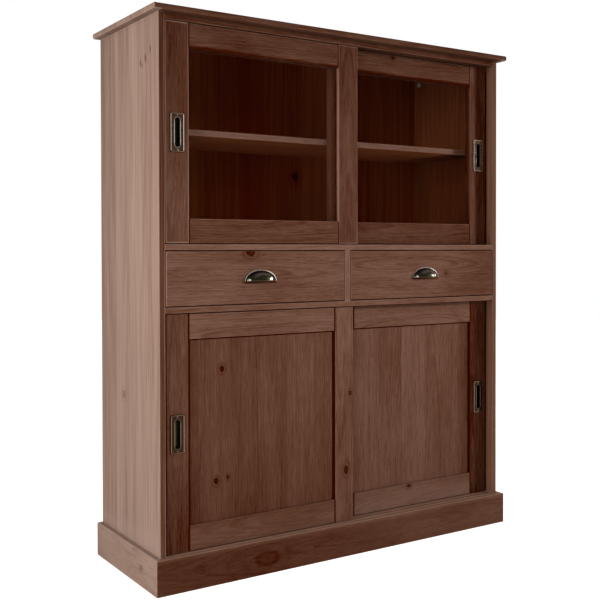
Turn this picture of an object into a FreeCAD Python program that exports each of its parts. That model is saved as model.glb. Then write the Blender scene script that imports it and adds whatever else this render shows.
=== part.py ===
import FreeCAD, Part
import math
import os
import re

import Sketcher

# A two-bay display cabinet in stained pine: glazed sliding doors above, two drawers, panelled
# sliding doors below.  Origin at the bottom centre of the overall box, front towards -Y, +Z up.

# Driving sizes in millimetres.
driving_sizes = {
    # Carcass
    "cabinet_width": 1144,  # across the outer faces of the side panels
    "cabinet_depth": 382,  # front edge to back edge of a side panel
    "board": 16,  # thickness of sides, decks, shelves and the track rail
    "base_clear": 602,  # clear height behind the lower doors
    "drawer_clear": 141,  # clear height of the drawer row
    "display_clear": 554,  # clear height behind the glazed doors
    "top_thickness": 15,
    "top_overhang_side": 22,
    "top_overhang_front": 23,
    "top_round": 5,
    "plinth_height": 90,
    "plinth_thickness": 16,
    "plinth_round": 4,
    "divider_thickness": 18,
    "track_rail_depth": 62,
    "back_thickness": 6,
    "back_inset": 2,  # back panels lie this far inside the side panels' back edges
    "back_tongue": 8,  # depth of the side panels' rebates for the back panels
    "back_fit": 0.5,  # play of a back panel in its rebates, each side
    "shelf_setback": 60,
    "display_shelf_rise": 280,
    "base_shelf_rise": 290,
    "arris": 1.2,  # chamfer on edges that are seen or handled
    # Dowels and cam locks
    "dowel_diameter": 8,
    "dowel_length": 30,
    "dowel_in_face": 11,  # part of a dowel's length in the face of the other board
    "dowel_fit": 0.2,  # holes are this much wider
    "dowel_end_fit": 1,  # holes are this much deeper
    "dowel_row_front": 90,
    "dowel_row_back": 300,
    "cam_diameter": 15,
    "cam_depth": 12.5,
    "cam_drop": 24,  # cam centre below the top edge of the side panel
    "cam_inset_front": 24,
    "cam_inset_back": 31,
    "cam_fit": 0.3,
    "cam_slot_width": 2.4,
    "cam_slot_length": 9,
    "cam_slot_depth": 2.5,
    "cam_bolt_diameter": 6,
    "cam_bolt_hold": 10,  # length of a cam bolt in the top board
    # Sliding doors
    "door_thickness": 20,
    "door_setback": 4,  # front doors stand this far behind the carcass front
    "door_gap": 6,  # between the front doors and the rear doors
    "door_side_gap": 3,
    "door_top_gap": 2,
    "door_bottom_gap": 3,
    "display_overlap": 74,
    "display_stile": 65,
    "display_top_rail": 64,
    "display_bottom_rail": 61,
    "base_overlap": 42,
    "base_stile": 61,
    "base_top_rail": 64,
    "base_bottom_rail": 64,
    "joint_fit": 0.2,  # play of a tenon or panel in its groove
    # Glazing of the upper doors
    "glass_thickness": 4,
    "glass_lip": 10,  # thickness of the frame in front of the glass
    "glass_rebate": 9,
    "glass_play": 1,
    "tenon_thickness": 5,
    "tenon_length": 20,
    "tenon_shoulder": 10,
    # Panels of the lower doors
    "panel_thickness": 8,
    "panel_setback": 6,
    "panel_groove": 9,
    "panel_play": 1,
    # Tracks, glides and guide pins
    "track_width": 6,
    "floor_track_depth": 6,
    "head_track_depth": 9,
    "track_fit": 0.3,
    "glide_length": 24,
    "glide_inset": 24,
    "plug_diameter": 8,
    "plug_length": 14,
    "guide_reach": 6,  # height of a guide pin inside the head track
    # Flush pulls of the doors
    "pull_width": 36,
    "pull_height": 96,
    "pull_plate": 1.6,
    "pull_corner": 3,
    "pull_border": 2.2,
    "pull_relief": 0.9,  # how far border and rim stand proud of the plate
    "pull_slot_width": 15,
    "pull_slot_height": 74,
    "pull_rim": 2.4,
    "pull_wall": 1.2,
    "pull_depth": 11,
    "pull_fit": 0.3,
    "pull_screw_hole": 3.4,
    "pull_screw_inset": 5,
    # Drawers
    "drawer_gap": 2,
    "drawer_front_thickness": 16,
    "drawer_side_gap": 5,
    "drawer_side_thickness": 12,
    "drawer_side_height": 110,
    "drawer_side_rise": 6,  # drawer sides above the deck
    "drawer_back_gap": 28,  # between a drawer box and the back panel
    "drawer_bottom_thickness": 4,
    "drawer_bottom_rise": 8,
    "drawer_bottom_groove": 5,
    "runner_thickness": 10,
    "runner_height": 14,
    "runner_fit": 0.3,
    # Cup pulls of the drawers
    "cup_width": 96,
    "cup_height": 30,
    "cup_flange": 2.5,
    "cup_flange_thickness": 1.6,
    "cup_reach": 21,
    "cup_wall": 1.6,
    "cup_drop": 9,  # lower edge of the cup below the middle of the drawer front
    "cup_post_diameter": 7,
    "cup_post_spacing": 64,
    "cup_post_rise": 7,
    "cup_bolt_hole": 4.4,
}

tiny = 1e-6
doc = FreeCAD.newDocument("display_cabinet")


def fill_sheet():
    sheet = doc.addObject("Spreadsheet::Sheet", "sizes")
    for row, (name, value) in enumerate(driving_sizes.items(), 1):
        sheet.set(f"A{row}", name)
        sheet.set(f"B{row}", str(value))
        sheet.setAlias(f"B{row}", name)
    doc.recompute()


def bind(thing, formulas):
    # Each word of a formula is the name of a cell.
    for path, text in formulas.items():
        thing.setExpression(path, re.sub(r"[a-z]\w*", r"sizes.\g<0>", text))


def place(thing, corner):
    bind(thing, {f"Placement.Base.{axis}": text for axis, text in zip("xyz", corner)})


def new_body(label, corner):
    body = doc.addObject("PartDesign::Body", label)
    body.Label = label
    place(body, corner)
    return body


def new_sketch(body, plane, offset=None):
    sketch = body.newObject("Sketcher::SketchObject", "outline")
    support = next(part for part in body.Origin.OriginFeatures if part.Role == plane + "_Plane")
    sketch.AttachmentSupport = [(support, "")]
    sketch.MapMode = "FlatFace"
    if offset:
        bind(sketch, {"AttachmentOffset.Base.z": offset})
    return sketch


def pin_point(sketch, curve, position, u, v):
    at = sketch.getPoint(curve, position)
    for kind, axis, text, now in (("DistanceX", -2, u, at.x), ("DistanceY", -1, v, at.y)):
        if text == "0":
            sketch.addConstraint(Sketcher.Constraint("PointOnObject", curve, position, axis))
        elif text:
            number = sketch.addConstraint(Sketcher.Constraint(kind, -1, 1, curve, position, now))
            bind(sketch, {f"Constraints[{number}]": text})


def draw_polygon(sketch, points):
    count = len(points)
    first = sketch.GeometryCount
    start = [FreeCAD.Vector(9, 0, 0), FreeCAD.Vector(0, 9, 0), FreeCAD.Vector(-9, 0, 0)]
    start += [FreeCAD.Vector(0, -9 - extra, 0) for extra in range(count - 3)]
    for here in range(count):
        sketch.addGeometry(Part.LineSegment(start[here], start[(here + 1) % count]), False)
    for here in range(count):
        after = first + (here + 1) % count
        sketch.addConstraint(Sketcher.Constraint("Coincident", first + here, 2, after, 1))
    for here, point in enumerate(points):
        pin_point(sketch, first + here, 1, *point)


def draw_rectangle(sketch, low, high):
    draw_polygon(sketch, [low, (high[0], low[1]), high, (low[0], high[1])])


def draw_circles(sketch, centres, diameter):
    for centre in centres:
        circle = Part.Circle(FreeCAD.Vector(5, 5, 0), FreeCAD.Vector(0, 0, 1), 1)
        curve = sketch.addGeometry(circle, False)
        pin_point(sketch, curve, 3, *centre)
        number = sketch.addConstraint(Sketcher.Constraint("Diameter", curve, 2.0))
        bind(sketch, {f"Constraints[{number}]": diameter})


def draw_slot(sketch, centre, width, height):
    # An upright slot with round ends, pinned at the ends of its straight sides.
    u, v = centre
    near, far = f"{u} - ({width}) / 2", f"{u} + ({width}) / 2"
    low, high = (f"{v} {sign} (({height}) - ({width})) / 2" for sign in "-+")
    corners = [FreeCAD.Vector(*point) for point in ((6, 20), (6, 10), (14, 10), (14, 20))]
    circles = [Part.Circle(FreeCAD.Vector(10, level), FreeCAD.Vector(0, 0, 1), 4) for level in (20, 10)]
    left = sketch.addGeometry(Part.LineSegment(corners[0], corners[1]), False)
    right = sketch.addGeometry(Part.LineSegment(corners[2], corners[3]), False)
    top = sketch.addGeometry(Part.ArcOfCircle(circles[0], 0, math.pi), False)
    bottom = sketch.addGeometry(Part.ArcOfCircle(circles[1], math.pi, 2 * math.pi), False)
    for one, end, two, start in ((top, 2, left, 1), (left, 2, bottom, 1),
                                 (bottom, 2, right, 1), (right, 2, top, 1)):
        sketch.addConstraint(Sketcher.Constraint("Coincident", one, end, two, start))
    pin_point(sketch, left, 1, near, high)
    pin_point(sketch, left, 2, near, low)
    pin_point(sketch, right, 1, far, low)
    pin_point(sketch, right, 2, far, high)
    pin_point(sketch, top, 3, None, high)
    pin_point(sketch, bottom, 3, None, low)


def pad(body, sketch, length, backwards=False):
    feature = body.newObject("PartDesign::Pad", "pad")
    feature.Profile = sketch
    feature.Reversed = backwards
    bind(feature, {"Length": length})
    doc.recompute()
    return feature


def pocket(body, sketch, depth, backwards=False):
    before = body.Shape.Volume
    feature = body.newObject("PartDesign::Pocket", "pocket")
    feature.Profile = sketch
    feature.Reversed = backwards
    bind(feature, {"Length": depth})
    doc.recompute()
    if body.Shape.Volume > before - tiny:
        raise RuntimeError(f"a pocket cuts nothing from {body.Label}")


def dress(body, kind, size, wanted):
    # Chamfer or fillet the edges that are wanted, going by their boxes and the body's box.
    base = body.Tip
    bounds = base.Shape.BoundBox
    names = [f"Edge{n}" for n, edge in enumerate(base.Shape.Edges, 1) if wanted(edge.BoundBox, bounds)]
    feature = body.newObject("PartDesign::" + kind, kind.lower())
    feature.Base = (base, names)
    bind(feature, {"Size" if kind == "Chamfer" else "Radius": size})
    doc.recompute()


def on_front(box, bounds):
    return box.YMax < bounds.YMin + tiny


def on_left(box, bounds):
    return box.XMax < bounds.XMin + tiny


def on_right(box, bounds):
    return box.XMin > bounds.XMax - tiny


def on_top(box, bounds):
    return box.ZMin > bounds.ZMax - tiny


def on_underside(box, bounds):
    return box.ZMax < bounds.ZMin + tiny


def off_the_back(box, bounds):
    return box.YMin < bounds.YMax - tiny


def upright_on_front(box, bounds):
    return on_front(box, bounds) and box.ZLength > box.XLength


def lengthwise_on_front(box, bounds):
    return on_front(box, bounds) and box.XLength > box.ZLength


def outer_corner(box, bounds):
    at_side = on_left(box, bounds) or on_right(box, bounds)
    at_end = on_top(box, bounds) or on_underside(box, bounds)
    return at_side and at_end


def span(low, high):
    return f"({high}) - ({low})"


def plate(label, x, y, z, eased=None):
    # A board given by its lower and upper limits along each axis.
    body = new_body(label, (x[0], y[0], z[0]))
    sketch = new_sketch(body, "XY")
    draw_rectangle(sketch, ("0", "0"), (span(*x), span(*y)))
    pad(body, sketch, span(*z))
    if eased:
        dress(body, "Chamfer", "arris", eased)
    return body


def block(label, x, y, z):
    box = doc.addObject("Part::Box", label)
    box.Label = label
    bind(box, {"Length": span(*x), "Width": span(*y), "Height": span(*z)})
    place(box, (x[0], y[0], z[0]))
    return box


def about_x(angle):
    return FreeCAD.Rotation(FreeCAD.Vector(1, 0, 0), angle)


def about_y(angle):
    return FreeCAD.Rotation(FreeCAD.Vector(0, 1, 0), angle)


def about_z(angle):
    return FreeCAD.Rotation(FreeCAD.Vector(0, 0, 1), angle)


def rod(axis, start, diameter, length):
    turns = {"X": about_y(90), "-Y": about_x(90), "Z": about_z(0)}
    cylinder = doc.addObject("Part::Cylinder", "rod")
    cylinder.Placement = FreeCAD.Placement(FreeCAD.Vector(), turns[axis])
    bind(cylinder, {"Radius": f"({diameter}) / 2", "Height": length})
    place(cylinder, start)
    return cylinder


def combine(kind, label, base, tool):
    result = doc.addObject("Part::" + kind, label)
    result.Label = label
    result.Base = base
    result.Tool = tool
    return result


def group(label, members):
    result = doc.addObject("Part::Compound", label)
    result.Label = label
    result.Links = members
    return result


def mirrored(points, width):
    swapped = {"0": width, width: "0"}
    return [(swapped.get(u, f"{width} - ({u})"), v) for u, v in points]


# Planes and levels that the driving sizes give
overall_depth = "(cabinet_depth + top_overhang_front)"
front = f"(top_overhang_front - {overall_depth} / 2)"
back = f"({overall_depth} / 2)"
back_face = f"({back} - back_inset - back_thickness)"
outside = "(cabinet_width / 2)"
inside = "(cabinet_width / 2 - board)"
base_under = "(plinth_height - board)"
drawer_deck_under = "(plinth_height + base_clear)"
drawer_floor = f"({drawer_deck_under} + board)"
display_deck_under = f"({drawer_floor} + drawer_clear)"
display_floor = f"({display_deck_under} + board)"
track_rail_under = f"({display_floor} + display_clear)"
top_under = f"({track_rail_under} + board)"
front_door_face = f"({front} + door_setback)"
rear_door_face = f"({front_door_face} + door_thickness + door_gap)"

# Rows of dowels, cams and tracks, measured back from the carcass front
first_track = "(door_setback + door_thickness / 2)"
track_rows = [first_track, f"({first_track} + door_thickness + door_gap)"]
dowel_rows = ["dowel_row_front", "((dowel_row_front + dowel_row_back) / 2)", "dowel_row_back"]
end_rows = [dowel_rows[0], dowel_rows[-1]]
rail_rows = [f"(({track_rows[1]} + track_width / 2 + track_rail_depth) / 2)"]
cam_rows = ["cam_inset_front", "(cabinet_depth - cam_inset_back)"]

# Each board between the sides: its under face, its distance behind the carcass front, its dowel rows
crossing_boards = {
    "top_track_rail": (track_rail_under, "0", rail_rows),
    "display_deck": (display_deck_under, "0", dowel_rows),
    "drawer_deck": (drawer_deck_under, "0", dowel_rows),
    "base_board": (base_under, "0", dowel_rows),
    "display_shelf": (f"({display_floor} + display_shelf_rise)", "shelf_setback", end_rows),
    "base_shelf": ("(plinth_height + base_shelf_rise)", "shelf_setback", end_rows),
}
dowel_hole = "dowel_diameter + dowel_fit"
dowel_end_depth = "dowel_length - dowel_in_face + dowel_end_fit"
dowel_face_depth = "dowel_in_face + dowel_end_fit"
cam_bore = "cam_diameter + cam_fit"
cam_bolt_bore = "cam_bolt_diameter + cam_fit"


def drill_ends(body, label):
    under, setback, rows = crossing_boards[label]
    centres = [(f"{row} - {setback}", "board / 2") for row in rows]
    for offset, inwards in ((None, True), (f"2 * {inside}", False)):
        sketch = new_sketch(body, "YZ", offset)
        draw_circles(sketch, centres, dowel_hole)
        pocket(body, sketch, dowel_end_depth, inwards)


def drill_for_divider(body, offset, inwards):
    sketch = new_sketch(body, "XY", offset)
    draw_circles(sketch, [(inside, row) for row in end_rows], dowel_hole)
    pocket(body, sketch, dowel_face_depth, inwards)


def tracked_board(label, depth, tracks_on_top):
    # A board with two door tracks along its upper or its under face, drawn as its section.
    body = new_body(label, (f"-{inside}", front, crossing_boards[label][0]))
    lower, upper = [], []
    for row in track_rows:
        near, far = f"{row} - track_width / 2", f"{row} + track_width / 2"
        if tracks_on_top:
            floor = "board - floor_track_depth"
            upper += [(near, "board"), (near, floor), (far, floor), (far, "board")]
        else:
            lower += [(near, "0"), (near, "head_track_depth"), (far, "head_track_depth"), (far, "0")]
    sketch = new_sketch(body, "YZ")
    corners = [(depth, "0"), (depth, "board")]
    draw_polygon(sketch, [("0", "0")] + lower + corners + upper[::-1] + [("0", "board")])
    pad(body, sketch, f"2 * {inside}")
    dress(body, "Chamfer", "arris", lengthwise_on_front)
    drill_ends(body, label)
    return body


def carcass_decks():
    depth = f"{back_face} - {front}"
    display_deck = tracked_board("display_deck", depth, tracks_on_top=True)
    drill_for_divider(display_deck, None, True)
    drawer_deck = tracked_board("drawer_deck", depth, tracks_on_top=False)
    drill_for_divider(drawer_deck, "board", False)
    return [display_deck, drawer_deck, tracked_board("base_board", depth, tracks_on_top=True),
            tracked_board("top_track_rail", "track_rail_depth", tracks_on_top=False)]


def shelf(label):
    under = crossing_boards[label][0]
    body = plate(label, (f"-{inside}", inside), (f"{front} + shelf_setback", back_face),
                 (under, f"{under} + board"), lengthwise_on_front)
    drill_ends(body, label)
    return body


def side_panel(label, left):
    # An upright with a rebate for the back panels, dowel holes, cam bores and cam bolt bores.
    body = new_body(label, (f"-{outside}" if left else inside, front, "0"))
    rebate = "cabinet_depth - back_inset - back_thickness"
    outline = [("0", "0"), ("board", "0"), ("board", rebate), ("board - back_tongue", rebate),
               ("board - back_tongue", "cabinet_depth"), ("0", "cabinet_depth")]
    sketch = new_sketch(body, "XY")
    draw_polygon(sketch, outline if left else mirrored(outline, "board"))
    pad(body, sketch, top_under)
    dress(body, "Chamfer", "arris", upright_on_front)
    inner_face = "board" if left else None
    dowels = new_sketch(body, "YZ", inner_face)
    for under, setback, rows in crossing_boards.values():
        draw_circles(dowels, [(row, f"{under} + board / 2") for row in rows], dowel_hole)
    pocket(body, dowels, dowel_face_depth, not left)
    cams = new_sketch(body, "YZ", inner_face)
    draw_circles(cams, [(row, f"{top_under} - cam_drop") for row in cam_rows], cam_bore)
    pocket(body, cams, "cam_depth + cam_fit", not left)
    bolts = new_sketch(body, "XY", top_under)
    draw_circles(bolts, [("board / 2", row) for row in cam_rows], cam_bolt_bore)
    pocket(body, bolts, "cam_drop")
    return body


def top_board():
    half = f"({outside} + top_overhang_side)"
    body = plate("top_board", (f"-{half}", half), (f"{front} - top_overhang_front", back),
                 (top_under, f"{top_under} + top_thickness"))
    dress(body, "Fillet", "top_round", off_the_back)
    holes = new_sketch(body, "XY")
    across = ["top_overhang_side + board / 2", "top_overhang_side + cabinet_width - board / 2"]
    centres = [(u, f"top_overhang_front + {row}") for u in across for row in cam_rows]
    draw_circles(holes, centres, cam_bolt_bore)
    pocket(body, holes, "cam_bolt_hold + cam_fit", True)
    return body


def drawer_divider():
    half = "divider_thickness / 2"
    body = plate("drawer_divider", (f"-{half}", half), (front, back_face),
                 (drawer_floor, display_deck_under), upright_on_front)
    for offset, inwards in ((None, True), ("drawer_clear", False)):
        sketch = new_sketch(body, "XY", offset)
        draw_circles(sketch, [(half, row) for row in end_rows], dowel_hole)
        pocket(body, sketch, dowel_end_depth, inwards)
    return body


def back_panels():
    half = f"({inside} + back_tongue - back_fit)"
    seam = f"({display_deck_under} + board / 2)"
    thickness = (back_face, f"{back_face} + back_thickness")
    return [plate("upper_back_panel", (f"-{half}", half), thickness, (seam, top_under)),
            plate("lower_back_panel", (f"-{half}", half), thickness, (base_under, f"{seam} - back_fit"))]


def plinth_board(label, corner, outline, outer_edge):
    # A plinth board mitred at the front corners, its outer upper edge rounded.
    body = new_body(label, corner)
    sketch = new_sketch(body, "XY")
    draw_polygon(sketch, outline)
    pad(body, sketch, "plinth_height")
    dress(body, "Fillet", "plinth_round", lambda box, bounds: on_top(box, bounds) and outer_edge(box, bounds))
    return body


def plinth():
    face = f"{front} - plinth_thickness"
    edge = "plinth_thickness"
    long_side = "cabinet_width + 2 * plinth_thickness"
    short_side = "cabinet_depth + plinth_thickness"
    across = [("0", "0"), (long_side, "0"), ("cabinet_width + plinth_thickness", edge), (edge, edge)]
    along = [("0", "0"), (edge, edge), (edge, short_side), ("0", short_side)]
    return [
        plinth_board("plinth_front", (f"-{outside} - {edge}", face, "0"), across, on_front),
        plinth_board("plinth_left", (f"-{outside} - {edge}", face, "0"), along, on_left),
        plinth_board("plinth_right", (outside, face, "0"), mirrored(along, edge), on_right),
    ]


def carcass_dowels():
    dowels = []
    for under, setback, rows in crossing_boards.values():
        for row in rows:
            level = f"{under} + board / 2"
            for start in (f"-{inside} - dowel_in_face", f"{inside} + dowel_in_face - dowel_length"):
                dowels.append(rod("X", (start, f"{front} + {row}", level), "dowel_diameter", "dowel_length"))
    for row in end_rows:
        for start in (f"{drawer_floor} - dowel_in_face",
                      f"{display_deck_under} + dowel_in_face - dowel_length"):
            dowels.append(rod("Z", ("0", f"{front} + {row}", start), "dowel_diameter", "dowel_length"))
    return group("carcass_dowels", dowels)


def cam_locks():
    # Each cam has a driver slot, and a bolt above it that holds the top board.
    level = f"{top_under} - cam_drop"
    bolt_foot = f"{level} + cam_diameter / 2 + cam_fit"
    bolt_length = "cam_drop - cam_diameter / 2 - cam_fit + cam_bolt_hold"
    pieces = []
    for row in cam_rows:
        y = f"{front} + {row}"
        slot_y = (f"{y} - cam_slot_length / 2", f"{y} + cam_slot_length / 2")
        slot_z = (f"{level} - cam_slot_width / 2", f"{level} + cam_slot_width / 2")
        for start, face, middle in ((f"-{inside} - cam_depth", f"-{inside}", f"-{outside} + board / 2"),
                                    (inside, inside, f"{outside} - board / 2")):
            cam = rod("X", (start, y, level), "cam_diameter", "cam_depth")
            slot = block("slot", (f"{face} - cam_slot_depth", f"{face} + cam_slot_depth"), slot_y, slot_z)
            pieces.append(combine("Cut", "cam", cam, slot))
            pieces.append(rod("Z", (middle, y, bolt_foot), "cam_bolt_diameter", bolt_length))
    return group("cam_locks", pieces)


# Drawers: the clear space of each, the running level and the depth of its sides
drawer_spaces = {
    "left_drawer": (f"-{inside}", "(-divider_thickness / 2)"),
    "right_drawer": ("(divider_thickness / 2)", inside),
}
drawer_side_under = f"({drawer_floor} + drawer_side_rise)"
runner_level = f"({drawer_side_under} + drawer_side_height / 2)"
drawer_box_front = f"({front} + drawer_front_thickness)"
drawer_box_back = f"({back_face} - drawer_back_gap)"
drawer_bottom_level = f"({drawer_side_under} + drawer_bottom_rise)"
drawer_bottom_slot = "(drawer_bottom_thickness + joint_fit)"


def drawer_runners():
    y = (f"{drawer_box_front} + drawer_gap", back_face)
    z = (f"{runner_level} - runner_height / 2", f"{runner_level} + runner_height / 2")
    strips = []
    for low, high in drawer_spaces.values():
        strips.append(block("runner", (low, f"{low} + runner_thickness"), y, z))
        strips.append(block("runner", (f"{high} - runner_thickness", high), y, z))
    return group("drawer_runners", strips)


def drawer_front(label, low, high):
    body = plate(label, (f"{low} + drawer_gap", f"{high} - drawer_gap"), (front, drawer_box_front),
                 (f"{drawer_floor} + drawer_gap", f"{display_deck_under} - drawer_gap"), on_front)
    width = f"({high} - {low} - 2 * drawer_gap)"
    groove_start = "drawer_side_gap + drawer_side_thickness - drawer_bottom_groove - drawer_gap"
    groove_level = "drawer_side_rise + drawer_bottom_rise - drawer_gap"
    groove = new_sketch(body, "XZ", "-drawer_front_thickness")
    draw_rectangle(groove, (groove_start, groove_level),
                   (f"{width} - ({groove_start})", f"{groove_level} + {drawer_bottom_slot}"))
    pocket(body, groove, "drawer_bottom_groove", True)
    bolts = new_sketch(body, "XZ")
    bolt_level = "drawer_clear / 2 - drawer_gap - cup_drop + cup_post_rise"
    draw_circles(bolts, [(f"{width} / 2 {sign} cup_post_spacing / 2", bolt_level) for sign in "-+"],
                 "cup_bolt_hole")
    pocket(body, bolts, "drawer_front_thickness")
    return body


def drawer_side(label, corner_x, left):
    # A drawer side drawn as its section: runner groove outside, groove for the bottom inside.
    body = new_body(label, (corner_x, drawer_box_front, drawer_side_under))
    side = "drawer_side_thickness"
    inner = "drawer_side_thickness - drawer_bottom_groove"
    shelf_low, shelf_high = "drawer_bottom_rise", f"drawer_bottom_rise + {drawer_bottom_slot}"
    runner_cut = "runner_thickness - drawer_side_gap + runner_fit"
    runner_low = "drawer_side_height / 2 - runner_height / 2 - runner_fit"
    runner_high = "drawer_side_height / 2 + runner_height / 2 + runner_fit"
    outline = [("0", "0"), (side, "0"), (side, shelf_low), (inner, shelf_low), (inner, shelf_high),
               (side, shelf_high), (side, "drawer_side_height"), ("0", "drawer_side_height"),
               ("0", runner_high), (runner_cut, runner_high), (runner_cut, runner_low), ("0", runner_low)]
    sketch = new_sketch(body, "XZ")
    draw_polygon(sketch, outline if left else mirrored(outline, side))
    pad(body, sketch, span(drawer_box_front, drawer_box_back), True)
    return body


def cup_pull(label, centre_x):
    # A quarter of an ellipsoid, hollow and open below, with a flange on the drawer front.
    level = f"({drawer_floor} + drawer_clear / 2 - cup_drop)"
    centre = (centre_x, front, level)
    half_width, height = "(cup_width / 2 - cup_flange)", "(cup_height - cup_flange)"

    def ellipsoid(half_x, half_y, half_z, start_angle, turn):
        solid = doc.addObject("Part::Ellipsoid", "ellipsoid")
        solid.Placement = FreeCAD.Placement(FreeCAD.Vector(), about_z(180))
        solid.Angle1 = start_angle
        solid.Angle3 = turn
        bind(solid, {"Radius1": half_z, "Radius2": half_x, "Radius3": half_y})
        place(solid, centre)
        return solid

    dome = ellipsoid(half_width, "cup_reach", height, 0, 180)
    hollow = ellipsoid(f"{half_width} - cup_wall", "cup_reach - cup_wall", f"{height} - cup_wall", -90, 360)
    rim = doc.addObject("Part::Ellipse", "rim")
    rim.Placement = FreeCAD.Placement(FreeCAD.Vector(), about_x(90))
    bind(rim, {"MajorRadius": "cup_width / 2", "MinorRadius": "cup_height"})
    place(rim, centre)
    disc = doc.addObject("Part::Extrusion", "disc")
    disc.Base = rim
    disc.DirMode = "Custom"
    disc.Dir = FreeCAD.Vector(0, -1, 0)
    disc.Solid = True
    bind(disc, {"LengthFwd": "cup_flange_thickness"})
    upper = block("upper", (f"{centre_x} - cup_width", f"{centre_x} + cup_width"),
                  (f"{front} - cup_reach", front), (level, f"{level} + 2 * cup_height"))
    flange = combine("Common", "flange", disc, upper)
    shell = combine("Cut", "shell", combine("Fuse", "cup", dome, flange), hollow)
    for sign in "-+":
        start = (f"{centre_x} {sign} cup_post_spacing / 2", front, f"{level} + cup_post_rise")
        post = combine("Common", "post", rod("-Y", start, "cup_post_diameter", "cup_reach"), dome)
        shell = combine("Fuse", "cup", shell, post)
    shell.Label = label
    return shell


def drawer(name):
    low, high = drawer_spaces[name]
    box_low, box_high = f"({low} + drawer_side_gap)", f"({high} - drawer_side_gap)"
    inner_low, inner_high = f"({box_low} + drawer_side_thickness)", f"({box_high} - drawer_side_thickness)"
    tongue = "(drawer_bottom_groove - panel_play)"
    bottom_low = f"{drawer_bottom_level} + joint_fit / 2"
    return [
        drawer_front(f"{name}_front", low, high),
        drawer_side(f"{name}_left_side", box_low, True),
        drawer_side(f"{name}_right_side", inner_high, False),
        plate(f"{name}_back", (inner_low, inner_high),
              (f"{drawer_box_back} - drawer_side_thickness", drawer_box_back),
              (f"{drawer_bottom_level} + {drawer_bottom_slot}", f"{drawer_side_under} + drawer_side_height")),
        plate(f"{name}_bottom", (f"{inner_low} - {tongue}", f"{inner_high} + {tongue}"),
              (f"{drawer_box_front} - {tongue}", drawer_box_back),
              (bottom_low, f"{bottom_low} + drawer_bottom_thickness")),
        cup_pull(f"{name}_cup_pull", f"(({low} + {high}) / 2)"),
    ]


# Sliding doors: the bay they close, their stiles, rails and overlap
display_bay = {
    "floor": display_floor, "clear": "display_clear", "overlap": "display_overlap",
    "stile": "display_stile", "top": "display_top_rail", "bottom": "display_bottom_rail", "glazed": True,
}
base_bay = {
    "floor": "plinth_height", "clear": "base_clear", "overlap": "base_overlap",
    "stile": "base_stile", "top": "base_top_rail", "bottom": "base_bottom_rail", "glazed": False,
}
groove_front = "panel_setback"
groove_back = "(panel_setback + panel_thickness + joint_fit)"
tenon_front = "((glass_lip + door_thickness - tenon_thickness) / 2)"
tenon_back = "((glass_lip + door_thickness + tenon_thickness) / 2)"
pull_pocket_wall = "2 * pull_wall + 2 * pull_fit"


def flush_pull(label, centre_x, face, centre_z):
    # A plate with a raised border, a rimmed slot with round ends and a finger recess behind it.
    body = new_body(label, (f"{centre_x} - pull_width / 2", face, f"{centre_z} - pull_height / 2"))
    low, high = ("0", "0"), ("pull_width", "pull_height")
    middle = ("pull_width / 2", "pull_height / 2")
    flat = new_sketch(body, "XZ")
    draw_rectangle(flat, low, high)
    pad(body, flat, "pull_plate")
    border = new_sketch(body, "XZ", "pull_plate")
    draw_rectangle(border, low, high)
    draw_rectangle(border, ("pull_border", "pull_border"),
                   ("pull_width - pull_border", "pull_height - pull_border"))
    pad(body, border, "pull_relief")
    dress(body, "Fillet", "pull_corner", outer_corner)
    rim = new_sketch(body, "XZ", "pull_plate")
    draw_slot(rim, middle, "pull_slot_width + 2 * pull_rim", "pull_slot_height + 2 * pull_rim")
    pad(body, rim, "pull_relief")
    cup = new_sketch(body, "XZ")
    draw_slot(cup, middle, "pull_slot_width + 2 * pull_wall", "pull_slot_height + 2 * pull_wall")
    pad(body, cup, "pull_depth", True)
    recess = new_sketch(body, "XZ", "pull_plate + pull_relief")
    draw_slot(recess, middle, "pull_slot_width", "pull_slot_height")
    pocket(body, recess, "pull_plate + pull_relief + pull_depth - pull_wall")
    screws = new_sketch(body, "XZ", "pull_plate")
    levels = ["pull_screw_inset", "pull_height - pull_screw_inset"]
    draw_circles(screws, [("pull_width / 2", level) for level in levels], "pull_screw_hole")
    pocket(body, screws, "pull_plate")
    return body


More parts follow.
